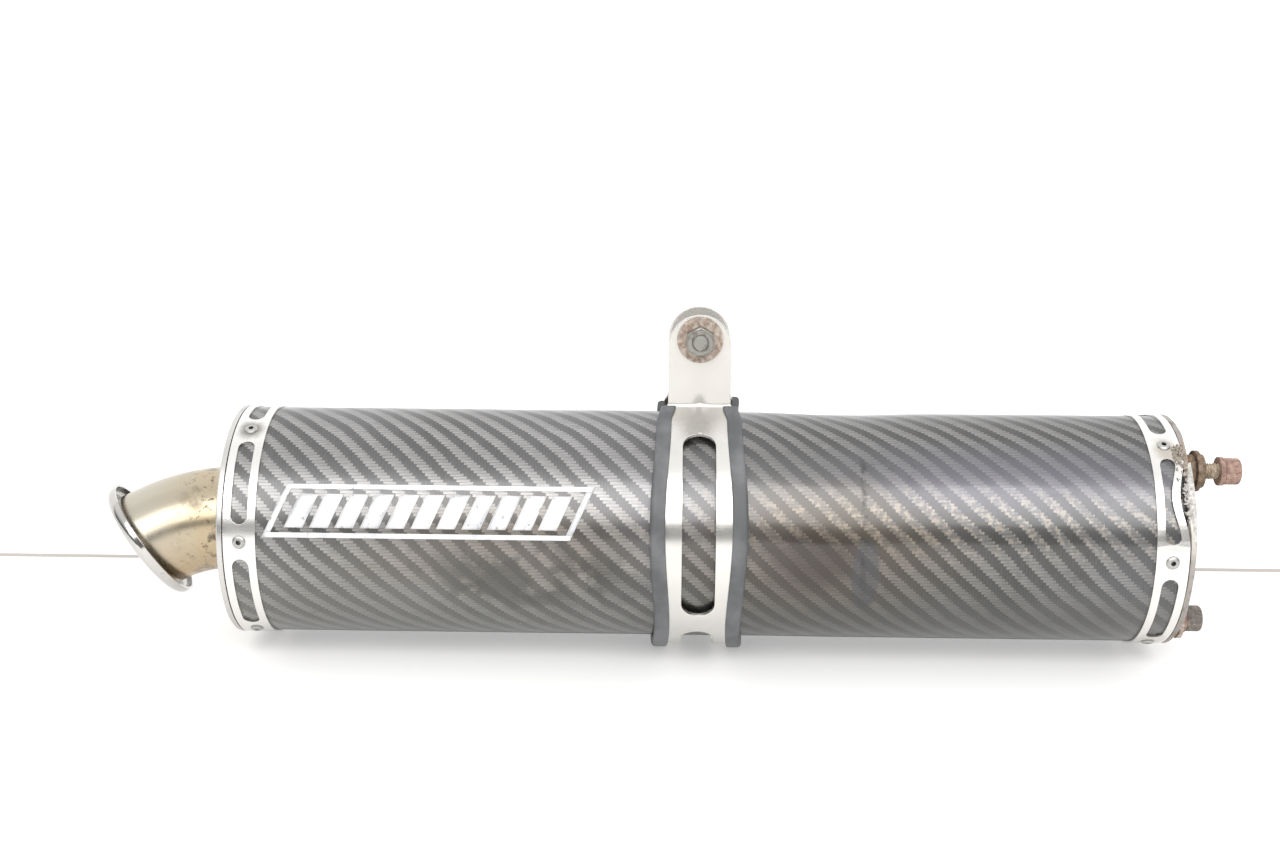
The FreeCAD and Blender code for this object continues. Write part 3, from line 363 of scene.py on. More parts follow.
def carbon():
    """The sleeve's worn, lacquered carbon twill, with painted highlights and painted shade."""
    look = Shader("carbon_twill", (0.05, 0.05, 0.05), 0.85, 0.4, Coat_Weight=0.9, Coat_Roughness=0.1,
                  Specular_Tint=(0.55, 0.55, 0.55, 1.0))
    x, turn, radius = look.wrapped()
    # the angle of the surface above or below the level of the axis, the same at the front and the back
    rise = look.math("ARCSINE", look.math("DIVIDE", look.split(look.place())[2], SLEEVE_R))
    rise = look.math("DEGREES", rise)
    # painted shade: a band along the top that is darkened further on and given less coat
    top = look.ramp(rise, 60.0, 90.0)
    # painted shade: the bottom of the sleeve, turned from the light, is painted near black and made matt
    underside_shade = look.without(look.ramp(rise, -68.0, -57.0))
    colour, lengthways, relief = twill(look, x, turn, rise)
    colour = painted_sheen_and_shade(look, colour, x, rise, top, underside_shade)
    colour = worn(look, colour, x, turn, lengthways)
    # painted shade: the inside of the sleeve is painted near black
    bore = look.math("LESS_THAN", radius, SLEEVE_R - 1.75 * MM)
    look.link(look.mix(bore, colour, (0.03, 0.03, 0.028)), "Base Color")
    look.link(look.math("MULTIPLY_ADD", underside_shade, -0.85, 0.85), "Metallic")
    dullness = look.blend(look.noise(14.0, 5.0), 0.30, 0.44)
    look.link(look.math("MAXIMUM", dullness, look.times(underside_shade, 0.9)), "Roughness")
    look.link(look.blend(look.ramp(look.noise(30.0, 5.0), 0.4, 0.7), 0.10, 0.26), "Coat Roughness")
    uncoated = look.math("MAXIMUM", underside_shade, look.times(top, 0.3))
    look.link(look.math("MULTIPLY_ADD", uncoated, -0.88, 0.9), "Coat Weight")
    look.bump(relief, 0.25, 0.12 * MM)
    return look.material


def worn_metal(name, colour, roughness, stains=(), bevel=0.25 * MM, brushed=(1.0, 0.05, 1.0), tarnish=0.25,
               dirt=(0.05, 0.045, 0.04), dirt_scale=55.0, dirt_level=(0.62, 0.78), scratches=0.15,
               shaded_below=None):
    """A bright or dull metal with rounded edges, uneven polish, tarnish, fine scratches and stains.

    Each stain is (along, turn, reach along, reach round, colour, strength) round the silencer. Inside
    the radius that the last argument gives, the metal is painted black, as shade down in a hole.
    """
    look = Shader(name, colour, 1.0, roughness)
    dulled = tuple(0.62 * part for part in colour)
    shade = look.tint(colour, look.ramp(look.noise(26.0, 5.0), 0.35, 0.7), tarnish, dulled)
    dirty = look.ramp(look.noise(dirt_scale, 6.0, 0.7), *dirt_level)
    shade = look.tint(shade, dirty, 0.7, dirt)
    metal = look.without(look.times(dirty, 0.75))
    x, turn, radius = look.wrapped()
    for along, centre, reach, reach_turn, stain, strength in stains:
        spot = look.spot(x, turn, (along, centre), (reach, reach_turn), 0.5, 0.9, 160.0)
        spot = look.times(spot, strength)
        shade = look.mix(spot, shade, stain)
        metal = look.minus(metal, look.times(spot, 0.8))
    if shaded_below is not None:
        # painted shade: inside that radius the metal is painted black
        deep = look.math("LESS_THAN", radius, shaded_below)
        shade = look.mix(deep, shade, (0.012, 0.011, 0.010))
        metal = look.minus(metal, deep)
    look.link(shade, "Base Color")
    look.link(look.math("MAXIMUM", metal, 0.0), "Metallic")
    uneven = look.blend(look.noise(90.0, 5.0), roughness * 0.6, roughness * 1.5)
    look.link(look.plus(uneven, look.times(dirty, 0.35)), "Roughness")
    relief = look.bump(look.stretched_noise(brushed, 1500.0), scratches, 0.05 * MM)
    rounded = look.node("ShaderNodeBevel", {"Radius": bevel}, samples=4)
    look.tree.links.new(rounded.outputs[0], relief.inputs["Normal"])
    return look.material


def rust(name, fresh, deep, scale=380.0, roughness=0.8, grey=0.0):
    """Crusty iron oxide in two tones, with as much grey steel showing as grey says."""
    look = Shader(name, fresh, 0.0, roughness)
    tone = look.ramp(look.noise(scale, 6.0, 0.65), 0.35, 0.68)
    shade = look.mix(tone, deep, fresh)
    bare = look.ramp(look.noise(scale * 0.5, 4.0), 0.60, 0.72)
    shade = look.tint(shade, bare, grey, (0.28, 0.27, 0.25))
    look.link(shade, "Base Color")
    look.link(look.times(bare, grey), "Metallic")
    look.bump(look.noise(scale * 1.8, 5.0, 0.7), 0.55, 0.35 * MM)
    return look.material


def rubber():
    """Dusty black rubber."""
    look = Shader("edge_rubber", (0.075, 0.077, 0.080), 0.0, 0.48)
    dusty = look.ramp(look.noise(60.0, 5.0), 0.38, 0.72)
    look.link(look.mix(dusty, (0.085, 0.088, 0.093), (0.15, 0.153, 0.16)), "Base Color")
    look.link(look.blend(look.noise(120.0, 4.0), 0.38, 0.6), "Roughness")
    look.bump(look.noise(800.0, 4.0), 0.2, 0.1 * MM)
    return look.material


def straw_steel():
    """The tail pipe's stainless steel: straw-coloured by heat, with soot and pits close to the cap."""
    look = Shader("tail_stainless", (0.62, 0.55, 0.40), 1.0, 0.24)
    x, y, z = look.split(look.place())
    heat = look.ramp(look.plus(x, look.times(look.noise(24.0, 3.0), 12 * MM)),
                     -0.520, -0.478)
    shade = look.mix(heat, (0.49, 0.455, 0.38), (0.46, 0.395, 0.285))
    low = look.without(look.ramp(z, -26 * MM, 2 * MM))
    shade = look.tint(shade, low, 0.45, (0.52, 0.36, 0.21))
    blush = look.ramp(look.noise(42.0, 4.0), 0.48, 0.7)
    shade = look.tint(shade, blush, 0.28, (0.50, 0.35, 0.18))
    near = look.ramp(x, -0.507, -0.480)
    pits = look.ramp(look.noise(300.0, 6.0, 0.7), 0.55, 0.63)
    soot = look.times(look.math("MAXIMUM", pits, look.ramp(look.noise(70.0, 5.0), 0.51, 0.64)),
                     look.times(near, 0.85))
    shade = look.mix(soot, shade, (0.06, 0.045, 0.03))
    look.link(shade, "Base Color")
    look.link(look.without(look.times(soot, 0.8)), "Metallic")
    look.link(look.blend(look.noise(80.0, 4.0), 0.16, 0.36), "Roughness")
    look.bump(look.stretched_noise((1.0, 0.05, 0.05), 900.0), 0.10, 0.06 * MM)
    return look.material


def fibres(name, colour, dark, scale):
    """Matted strands, drawn out along the silencer."""
    look = Shader(name, colour, 0.0, 0.9)
    strands = look.stretched_noise((0.2, 1.0, 1.0), scale, 5.0)
    look.link(look.mix(look.ramp(strands, 0.3, 0.7), dark, colour), "Base Color")
    look.bump(strands, 0.8, 0.5 * MM)
    return look.material


def foil():
    """Worn silvery-white foil, with bare carbon showing through the scuffs."""
    look = Shader("badge_foil", (0.80, 0.80, 0.80), 0.25, 0.32)
    scuffs = look.ramp(look.noise(230.0, 6.0, 0.7), 0.58, 0.68)
    shade = look.mix(look.ramp(look.noise(60.0, 4.0), 0.4, 0.7), (0.80, 0.80, 0.80), (0.60, 0.61, 0.63))
    look.link(look.tint(shade, scuffs, 0.7, (0.16, 0.14, 0.12)), "Base Color")
    look.link(look.blend(look.noise(150.0, 4.0), 0.25, 0.5), "Roughness")
    return look.material


CARBON = carbon()
BAND = worn_metal("polished_band", (0.79, 0.775, 0.75), 0.21, tarnish=0.22, dirt=(0.20, 0.17, 0.13),
                  dirt_scale=120.0, dirt_level=(0.66, 0.80),
                  stains=[(-0.4605, 65.0, 6 * MM, 6.0, (0.10, 0.09, 0.07), 0.75),
                          (-0.0157, 58.0, 5 * MM, 7.0, (0.35, 0.30, 0.24), 0.7),
                          (-0.0157, -55.0, 7 * MM, 9.0, (0.30, 0.27, 0.22), 0.35)])
CAP = worn_metal("cap_steel", (0.38, 0.355, 0.33), 0.40, tarnish=0.5, dirt=(0.13, 0.095, 0.07),
                 dirt_scale=90.0, dirt_level=(0.50, 0.68), bevel=0.5 * MM,
                 stains=[(-0.0060, 50.0, 8 * MM, 14.0, (0.34, 0.26, 0.20), 0.9),
                         (-0.0060, 20.0, 8 * MM, 16.0, (0.72, 0.68, 0.62), 0.7),
                         (-0.0060, -70.0, 9 * MM, 30.0, (0.20, 0.14, 0.10), 0.5)])
BRIGHT_CAP = worn_metal("outlet_cap_steel", (0.60, 0.585, 0.565), 0.27, tarnish=0.5,
                        dirt=(0.16, 0.13, 0.11), dirt_scale=110.0, dirt_level=(0.58, 0.74), bevel=0.5 * MM)
# the rivets are painted black below the band's face, as shade in their holes
RIVET = worn_metal("rivet_alloy", (0.46, 0.455, 0.44), 0.36, tarnish=0.3, dirt_scale=300.0,
                   shaded_below=BAND_R + BAND_SHEET)
BOSS = rust("boss_steel", (0.26, 0.17, 0.10), (0.09, 0.06, 0.045), grey=0.7)
GAS = worn_metal("gas_tube", (0.42, 0.36, 0.30), 0.45, tarnish=0.5, dirt_level=(0.42, 0.6))
TAIL = straw_steel()
LIP = worn_metal("lip_polished", (0.57, 0.555, 0.535), 0.12, tarnish=0.55, dirt_scale=140.0,
                 dirt_level=(0.64, 0.76))
RUSTY = rust("rusty_steel", (0.42, 0.285, 0.225), (0.21, 0.130, 0.105))
OLIVE = rust("rusty_thread", (0.57, 0.48, 0.37), (0.24, 0.18, 0.125), grey=0.35)
WASHER = rust("rusty_washer", (0.55, 0.48, 0.42), (0.25, 0.18, 0.14), grey=0.6)
BROWN = rust("brown_washer", (0.26, 0.185, 0.125), (0.11, 0.075, 0.05), grey=0.3)
DULL = rust("dull_steel", (0.27, 0.24, 0.215), (0.115, 0.10, 0.088), grey=0.35)
DARK = worn_metal("dark_steel", (0.35, 0.345, 0.315), 0.42, tarnish=0.45, dirt=(0.12, 0.09, 0.06),
                  dirt_scale=200.0, dirt_level=(0.5, 0.68))
STRAP = worn_metal("strap_polished", (0.74, 0.725, 0.69), 0.21, tarnish=0.25, dirt=(0.22, 0.18, 0.14),
                   dirt_scale=110.0, dirt_level=(0.66, 0.80), brushed=(0.05, 1.0, 1.0), scratches=0.10,
                   stains=[(CLAMP_X, 84.0, 26 * MM, 24.0, (0.52, 0.50, 0.465), 0.60)])
RUBBER = rubber()
WOOL = fibres("steel_wool", (0.30, 0.29, 0.27), (0.07, 0.065, 0.06), 900.0)
GLASS = fibres("glass_fibre", (0.75, 0.72, 0.60), (0.42, 0.38, 0.28), 600.0)
FOIL = foil()
CRUST = rust("dent_crust", (0.45, 0.41, 0.35), (0.20, 0.165, 0.13), 520.0, 0.9)
PALE = rust("torn_resin", (0.70, 0.68, 0.65), (0.38, 0.36, 0.33), 500.0)
SHARD = rust("carbon_shards", (0.09, 0.085, 0.08), (0.02, 0.02, 0.02), 700.0, 0.55, grey=0.3)

NODE_LOOKS = {
    "carbon_sleeve": CARBON, "outlet_end_cap": BRIGHT_CAP, "inlet_end_cap": CAP, "outlet_band": BAND,
    "inlet_band": BAND, "outlet_rivets": RIVET, "inlet_rivets": RIVET, "inlet_bosses": BOSS,
    "inlet_socket": GAS, "outlet_collar": GAS, "perforated_core": GAS, "steel_wool_wrap": WOOL,
    "glass_fibre_packing": GLASS, "tail_pipe": TAIL, "tail_pipe_lip": LIP,
    "tight_inlet_washers": WASHER, "tight_inlet_spring_washers": RUSTY, "tight_inlet_screws": DULL,
    "badge_foil": FOIL, "clamp_strap": STRAP, "outlet_edge_trim": RUBBER, "inlet_edge_trim": RUBBER,
    "hanger_washers": WASHER, "hanger_bolt": DARK, "hanger_lock_nut": DARK,
    "loose_wide_washer": BROWN, "loose_small_washer": BROWN, "loose_spring_washer": RUSTY,
    "loose_inlet_screw": RUSTY,
}
for label, look in NODE_LOOKS.items():
    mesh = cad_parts[label].data
    mesh.materials.clear()
    mesh.materials.append(look)


# ------------------------------------------------------------------------------------ carbon sleeve
def sleeve():
    """The sleeve, a little out of round where it has been knocked."""
    rows, steps = 150, 240
    waist_x, waist_reach, waist_depth = -0.170, 0.030, 1.3 * MM
    ripple_depth, ripples_along, ripples_round = 0.22 * MM, 22, 1.5
    true_end = 0.03
    low, high = SLEEVE_LOW.x, SLEEVE_HIGH.x
    outer = [(low + (high - low) * row / rows, SLEEVE_R) for row in range(rows + 1)]
    inner = [(along, SLEEVE_R - SLEEVE_WALL) for along, radius in reversed(outer)]
    points = []
    for along, radius in outer + inner:
        waist = waist_depth * math.exp(-((along - waist_x) / waist_reach) ** 2)
        free = max(0.0, min(1.0, (along - low) / true_end, (high - along) / true_end))
        for step in range(steps):
            angle = 2 * math.pi * step / steps
            front, up = math.cos(angle), math.sin(angle)
            ripple = ripple_depth * noise.noise(
                Vector((along * ripples_along, front * ripples_round, up * ripples_round)))
            reach = radius - (waist * max(0.0, up) + abs(ripple)) * free
            points.append((along, -reach * front, reach * up))
    faces = grid_faces(2 * (rows + 1), steps, wrap_rows=True, wrap_columns=True)
    return add_mesh("lacquered_sleeve", points, faces, CARBON, "silencer",
                    ["carbon_sleeve"])


# ---------------------------------------------------------------------------- bands, bent where hit
def bent_copy(source, name, material, change, longest):
    """A finer copy of one of the silencer's frame nodes, with every point carried by change."""
    most_rounds, same_place, sharpest = 5, 1e-6, 32 * DEG
    work = bmesh.new()
    work.from_mesh(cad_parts[source].data)
    bmesh.ops.remove_doubles(work, verts=work.verts, dist=same_place)
    for _ in range(most_rounds):
        long_edges = [edge for edge in work.edges if edge.calc_length() > longest]
        if not long_edges:
            break
        bmesh.ops.subdivide_edges(work, edges=long_edges, cuts=1)
        bmesh.ops.triangulate(work, faces=work.faces)
    for vertex in work.verts:
        vertex.co = change(vertex.co)
    mesh = finished(name, work)
    if "custom_normal" in mesh.attributes:
        mesh.attributes.remove(mesh.attributes["custom_normal"])
    piece = add_piece(name, mesh, material, "silencer", [source])
    mesh.set_sharp_from_angle(angle=sharpest)
    return piece


def turn_of(point):
    return math.atan2(point.z, -point.y) / DEG


def smooth(value):
    value = min(1.0, max(0.0, value))
    return value * value * (3 - 2 * value)


def carried(point, along, outward):
    """A point moved along the silencer and away from its axis."""
    stretch = 1 + outward / max(math.hypot(point.y, point.z), MM)
    return Vector((point.x + along, point.y * stretch, point.z * stretch))


INLET_BAND_LOW, INLET_BAND_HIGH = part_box("inlet_band")


def knocked_band(point):
    """The inlet band's outer rail is folded back towards the sleeve between two rivets."""
    fold_turn, fold_reach, fold_depth, buckle = 31.0, 23.0, 4.4 * MM, 0.5 * MM
    rail_from, rail_blend = 0.40, 0.34
    share = (point.x - INLET_BAND_LOW.x) / (INLET_BAND_HIGH.x - INLET_BAND_LOW.x)
    fold = smooth(1 - abs(turn_of(point) - fold_turn) / fold_reach)
    fold *= smooth((share - rail_from) / rail_blend)
    return carried(point, -fold_depth * fold, buckle * fold)


INLET_FACE_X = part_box("inlet_end_cap")[1].x


def knocked_cap(point):
    """The inlet cap's rim is dished behind the folded rail."""
    rim_radius, rim_blend, rim_behind, face_blend = 51 * MM, 5 * MM, 6 * MM, 4 * MM
    dish_turn, dish_reach, dish_depth, dish_inwards = 40.0, 30.0, 1.6 * MM, 0.7 * MM
    unevenness, grain = 0.5 * MM, 120
    near_rim = smooth((math.hypot(point.y, point.z) - rim_radius) / rim_blend)
    near_rim *= smooth((point.x - INLET_FACE_X + rim_behind) / face_blend)
    dish = max(0.0, 1 - abs(turn_of(point) - dish_turn) / dish_reach) ** 1.2 * near_rim
    uneven = unevenness * noise.noise(point * grain) * near_rim
    return carried(point, -dish_depth * dish - abs(uneven), -dish_inwards * dish)


# -------------------------------------------------------------------------------------- hanger strap
STRAP_MID = STRAP_R + STRAP_SHEET / 2
TAB_MID = TAB_HALF_GAP + STRAP_SHEET / 2
BEND_MID = TAB_BEND + STRAP_SHEET / 2
TURN_LENGTH = STRAP_MID * DEG
LEAVE = Vector((0.0, -STRAP_MID * math.cos(LEAVE_TURN * DEG), STRAP_MID * math.sin(LEAVE_TURN * DEG)))
LEAVE_WAY = Vector((0.0, math.sin(LEAVE_TURN * DEG), math.cos(LEAVE_TURN * DEG)))
TO_TAB = (-TAB_MID - LEAVE.y) / LEAVE_WAY.y
BEND_TRIM = BEND_MID * math.tan(LEAVE_TURN * DEG / 2)
STRAIGHT = TO_TAB - BEND_TRIM
BEND_END_Z = LEAVE.z + LEAVE_WAY.z * TO_TAB + BEND_TRIM
BEND_LENGTH = BEND_MID * LEAVE_TURN * DEG
ARC_HALF = (LEAVE_TURN + 90) * TURN_LENGTH
SLOT_HALF_WIDTH = 8.05 * MM
SLOT_HALF_LENGTH = 46 * TURN_LENGTH
SLOT_PITCH = 105.5 * TURN_LENGTH
BRIDGE_HALF_WIDTH = 13.6 * MM
SCALLOP = 2.4 * MM
TRIM_LAP = 3.8 * MM
HOLE_Z = 97.5 * MM
HOLE_R = 4.3 * MM
TAB_TOP_Z = TAB_ARC_Z + TAB_HALF_WIDTH
SLOT_CENTRES = (0.0, SLOT_PITCH, -SLOT_PITCH)
NECK_BEFORE = 3 * MM
NECK_LENGTH = 7 * MM


def strap_point(reach):
    """Centre-line point and outward normal at a distance from the strap's lowest point.

    Positive distances climb the front side, and negative ones mirror them behind.
    """
    way = abs(reach)
    if way <= ARC_HALF:
        turn = -90 + way / TURN_LENGTH
        point, outward = around(turn, STRAP_MID), around(turn, 1.0)
    elif way <= ARC_HALF + STRAIGHT:
        point, outward = LEAVE + LEAVE_WAY * (way - ARC_HALF), around(LEAVE_TURN, 1.0)
    elif way <= ARC_HALF + STRAIGHT + BEND_LENGTH:
        turned = (way - ARC_HALF - STRAIGHT) / BEND_MID
        angle = LEAVE_TURN * DEG - turned
        outward = Vector((0.0, -math.cos(angle), math.sin(angle)))
        centre = Vector((0.0, -TAB_MID - BEND_MID, BEND_END_Z))
        point = centre - outward * BEND_MID
    else:
        height = BEND_END_Z + way - ARC_HALF - STRAIGHT - BEND_LENGTH
        point, outward = Vector((0.0, -TAB_MID, height)), Vector((0.0, -1.0, 0.0))
    if reach < 0:
        point, outward = Vector((0.0, -point.y, point.z)), Vector((0.0, -outward.y, outward.z))
    return point, outward


TAB_FOOT = ARC_HALF + STRAIGHT + BEND_LENGTH
TAB_END = TAB_FOOT + TAB_TOP_Z - BEND_END_Z
HOLE_WAY = TAB_FOOT + HOLE_Z - BEND_END_Z


def exposed_half_width(reach):
    """Half the bright width between the rubber edges: it swells beside each slot."""
    return BRIDGE_HALF_WIDTH + SCALLOP * (0.5 + 0.5 * math.cos(2 * math.pi * reach / SLOT_PITCH))


def strap_half_width(reach):
    """Half the strap's full width, which narrows to the tabs and ends in their round tops."""
    way = abs(reach)
    height = BEND_END_Z + way - TAB_FOOT
    wide = exposed_half_width(min(way, ARC_HALF + STRAIGHT)) + TRIM_LAP
    if way > TAB_FOOT and height > TAB_ARC_Z:
        rise = min(1.0, (height - TAB_ARC_Z) / TAB_HALF_WIDTH)
        return TAB_HALF_WIDTH * math.sqrt(1 - rise * rise)
    return wide + (TAB_HALF_WIDTH - wide) * smooth((way - ARC_HALF - STRAIGHT + NECK_BEFORE) / NECK_LENGTH)


def round_ended(distance, half_length, half_width):
    """Half the width of a slot with round ends at a distance from its middle."""
    past = abs(distance) - (half_length - half_width)
    if past <= 0:
        return half_width
    return math.sqrt(max(0.0, half_width ** 2 - past ** 2))


def strap_opening(reach):
    """Half the width of the slot or the bolt hole at a distance along the strap."""
    opening = max(round_ended(reach - centre, SLOT_HALF_LENGTH, SLOT_HALF_WIDTH)
                  if abs(reach - centre) < SLOT_HALF_LENGTH else 0.0 for centre in SLOT_CENTRES)
    off_hole = abs(reach) - HOLE_WAY
    if abs(off_hole) < HOLE_R:
        opening = math.sqrt(HOLE_R ** 2 - off_hole ** 2)
    return opening


def strap_stations():
    """Distances along the strap, closer together round the slots' ends, the holes and the tab tops."""
    steps, quarter_steps, bend_steps, closest = 170, 9, 8, 0.12 * MM
    places = [-TAB_END + 2 * TAB_END * step / steps for step in range(steps + 1)]
    quarter = [math.sin(90 * DEG * step / quarter_steps) for step in range(quarter_steps + 1)]
    top = TAB_FOOT + TAB_ARC_Z - BEND_END_Z
    for side in (-1, 1):
        for centre in SLOT_CENTRES:
            places += [centre + side * (SLOT_HALF_LENGTH - SLOT_HALF_WIDTH * (1 - part))
                       for part in quarter]
        places += [side * (HOLE_WAY + way * HOLE_R * part) for part in quarter for way in (-1, 1)]
        places += [side * (top + TAB_HALF_WIDTH * part) for part in quarter]
        places += [side * (ARC_HALF + STRAIGHT + BEND_LENGTH * step / bend_steps)
                   for step in range(bend_steps + 1)]
    places.sort()
    kept = places[:1]
    for place in places[1:]:
        if place - kept[-1] > closest:
            kept.append(place)
    return kept


def gusset(x, reach):
    """A small pressed rib that stiffens each bend."""
    rib_length, rib_width, rib_height = 4.6 * MM, 3.4 * MM, 1.0 * MM
    along = (abs(reach) - ARC_HALF - STRAIGHT - BEND_LENGTH / 2) / rib_length
    across = (x - CLAMP_X) / rib_width
    return rib_height * math.exp(-along * along - across * across)


def clamp_strap():
    """Two strips of sheet, one on each side of the slots, which meet at the bridges and tabs."""
    columns, same_place, no_length = 12, 0.02 * MM, 0.01 * MM
    edge_round, edge_angle = 0.3 * MM, 60 * DEG
    work = bmesh.new()
    stations = strap_stations()
    for side in (-1, 1):
        rows = []
        for reach in stations:
            point, outward = strap_point(reach)
            inner, outer = strap_opening(reach), strap_half_width(reach)
            row = []
            for column in range(columns + 1):
                x = CLAMP_X + side * (inner + (outer - inner) * column / columns)
                place = point + outward * gusset(x, reach)
                row.append(work.verts.new((x, place.y, place.z)))
            rows.append(row)
        for above, below in zip(rows, rows[1:]):
            for column in range(columns):
                corners = [above[column], above[column + 1], below[column + 1], below[column]]
                work.faces.new(corners if side > 0 else corners[::-1])
    bmesh.ops.remove_doubles(work, verts=work.verts, dist=same_place)
    bmesh.ops.dissolve_degenerate(work, edges=work.edges, dist=no_length)
    name = "scalloped_strap"
    piece = add_piece(name, finished(name, work), STRAP, "hanger_clamp", ["clamp_strap"])
    thickened(piece, STRAP_SHEET)
    rounding = piece.modifiers.new("edges", "BEVEL")
    rounding.width = edge_round
    rounding.segments = 2
    rounding.limit_method = "ANGLE"
    rounding.angle_limit = edge_angle


def rounded_corners(corners, segments=4):
    """A closed outline whose corners, given as (across, up, radius), are rounded."""
    outline = []
    count = len(corners)
    for index, (across, up, radius) in enumerate(corners):
        here = Vector((across, up))
        before = Vector(corners[index - 1][:2])
        after = Vector(corners[(index + 1) % count][:2])
        start = here + (before - here).normalized() * radius
        end = here + (after - here).normalized() * radius
        for step in range(segments + 1):
            part = step / segments
            outline.append(start * (1 - part) ** 2 + here * 2 * part * (1 - part) + end * part ** 2)
    return outline


def edge_trim(name, side, node, rear_gap):
    """A rubber channel pushed over one edge of the strap, which it leaves free near the rear tab."""
    below, above, lips, wide = -3.05 * MM, 2.65 * MM, STRAP_SHEET / 2, 7.4 * MM
    groove = TRIM_LAP + 0.1 * MM
    front_past, pinch, pinch_length = 0.5 * MM, 2.2 * MM, 9 * MM
    steps, waviness, waves = 230, 0.35 * MM, 30
    crease_angle = 45 * DEG
    outline = rounded_corners([
        (0.0, below, 0.6 * MM), (wide, below, 1.9 * MM), (wide, above, 2.2 * MM), (0.0, above, 0.9 * MM),
        (0.0, lips, 0.3 * MM), (groove, lips, 0.2 * MM), (groove, -lips, 0.2 * MM), (0.0, -lips, 0.3 * MM)])
    front_end = ARC_HALF + STRAIGHT + front_past
    rear_end = ARC_HALF + STRAIGHT - rear_gap
    points = []
    for step in range(steps + 1):
        reach = -rear_end + (rear_end + front_end) * step / steps
        point, outward = strap_point(reach)
        edge = exposed_half_width(reach) - pinch * smooth((reach - front_end + pinch_length) / pinch_length)
        wobble = waviness * noise.noise(Vector((reach * waves, side * 4.0, 0.0)))
        for across, up in outline:
            x = CLAMP_X + side * (edge + across + wobble * across / wide)
            points.append(Vector((x, 0, 0)) + point + outward * up)
    size = len(outline)
    faces = grid_faces(steps + 1, size, wrap_columns=True)
    faces += [tuple(range(size)), tuple(reversed(range(steps * size, (steps + 1) * size)))]
    piece = add_mesh(name, points, faces, RUBBER, "hanger_clamp", [node])
    recalculate(piece)
    piece.data.set_sharp_from_angle(angle=crease_angle)


# -------------------------------------------------------------------------------------------- screws
HEAD_R = 6.5 * MM
HEAD_HEIGHT = 8.0 * MM
KEY_HALF = 3.0 * MM
KEY_DEPTH = 4.5 * MM
KNURLS = 36
KNURL_DEPTH = 0.28 * MM
THREAD_DEPTH = 0.72 * MM
PLAIN_NECK = 1.2 * MM


def socket_screw(name, turn, head_from, thread_from, shank_to, material, body, replaced):
    """A knurled socket-head screw along +X with a real helical thread and a hexagonal key."""
    rows_to_a_pitch, steps_to_a_knurl, crease_angle = 8, 4, 38 * DEG
    closed_end = 0.01 * MM

    def knurled(angle):
        return HEAD_R - KNURL_DEPTH * abs(math.sin(angle * KNURLS / 2)) ** 0.7

    def key(angle):
        return KEY_HALF / math.cos((angle + 30 * DEG) % (60 * DEG) - 30 * DEG)

    def ring(radius):
        return lambda angle: radius

    def threaded(along):
        def depth(angle):
            phase = (along / THREAD_PITCH - angle / (2 * math.pi)) % 1.0
            return THREAD_R - THREAD_DEPTH * min(1.0, abs(2 * phase - 1) * 1.15)
        return depth

    rows = [(shank_to, ring(closed_end)), (shank_to, ring(THREAD_R - 1.0 * MM))]
    length = head_from - PLAIN_NECK - thread_from
    count = int(length / THREAD_PITCH * rows_to_a_pitch)
    for row in range(count + 1):
        along = thread_from + length * row / count
        rows.append((along, threaded(along)))
    top = head_from + HEAD_HEIGHT
    rows += [(head_from - 0.9 * MM, ring(THREAD_R - 0.25 * MM)), (head_from, ring(THREAD_R)),
             (head_from, ring(HEAD_R - 0.7 * MM)), (head_from + 0.5 * MM, knurled),
             (top - 0.9 * MM, knurled), (top - 0.35 * MM, ring(HEAD_R - 0.35 * MM)),
             (top, ring(HEAD_R - 0.9 * MM)), (top, lambda angle: key(angle) + 0.35 * MM),
             (top - 0.4 * MM, key), (top - KEY_DEPTH, key), (top - KEY_DEPTH - 0.6 * MM, ring(closed_end))]
    steps = KNURLS * steps_to_a_knurl
    centre = around(turn, SCREW_CIRCLE)
    points = []
    for along, radius in rows:
        for step in range(steps):
            angle = 2 * math.pi * step / steps
            reach = radius(angle)
            points.append((along, centre.y - reach * math.cos(angle), centre.z + reach * math.sin(angle)))
    faces = grid_faces(len(rows), steps, wrap_columns=True)
    piece = add_mesh(name, points, faces, material, body, replaced)
    recalculate(piece)
    piece.data.set_sharp_from_angle(angle=crease_angle)
    piece.data.materials.append(OLIVE)
    for face in piece.data.polygons:
        if face.center.x < head_from - 0.1 * MM:
            face.material_index = 1


# ------------------------------------------------------------------------------- debris and the badge
def chips(name, material, count, turns, along, radius, sizes, seed, flat=0.45):
    """Small broken lumps that cling between the band and the cap.

    turns holds the lowest, the highest and the likeliest angle; along, radius and sizes hold ranges.
    """
    longest_stretch, roughness, grain, spread = 1.6, 0.55, 900, 300
    dice = random.Random(seed)
    work = bmesh.new()
    for _ in range(count):
        size = dice.uniform(*sizes)
        turn = dice.triangular(*turns)
        centre = around(turn, dice.uniform(*radius), dice.uniform(*along))
        spin = Euler([dice.uniform(0, 6.3) for _ in range(3)]).to_matrix().to_4x4()
        shape = Matrix.Diagonal((size * dice.uniform(0.7, longest_stretch), size, size * flat, 1.0))
        made = bmesh.ops.create_icosphere(work, subdivisions=2, radius=1.0,
                                          matrix=Matrix.Translation(centre) @ spin @ shape)
        for vertex in made["verts"]:
            away = vertex.co - centre
            vertex.co = centre + away * (1 + roughness * noise.noise(away * grain + centre * spread))
    add_piece(name, finished(name, work), material, "silencer", smooth=False)


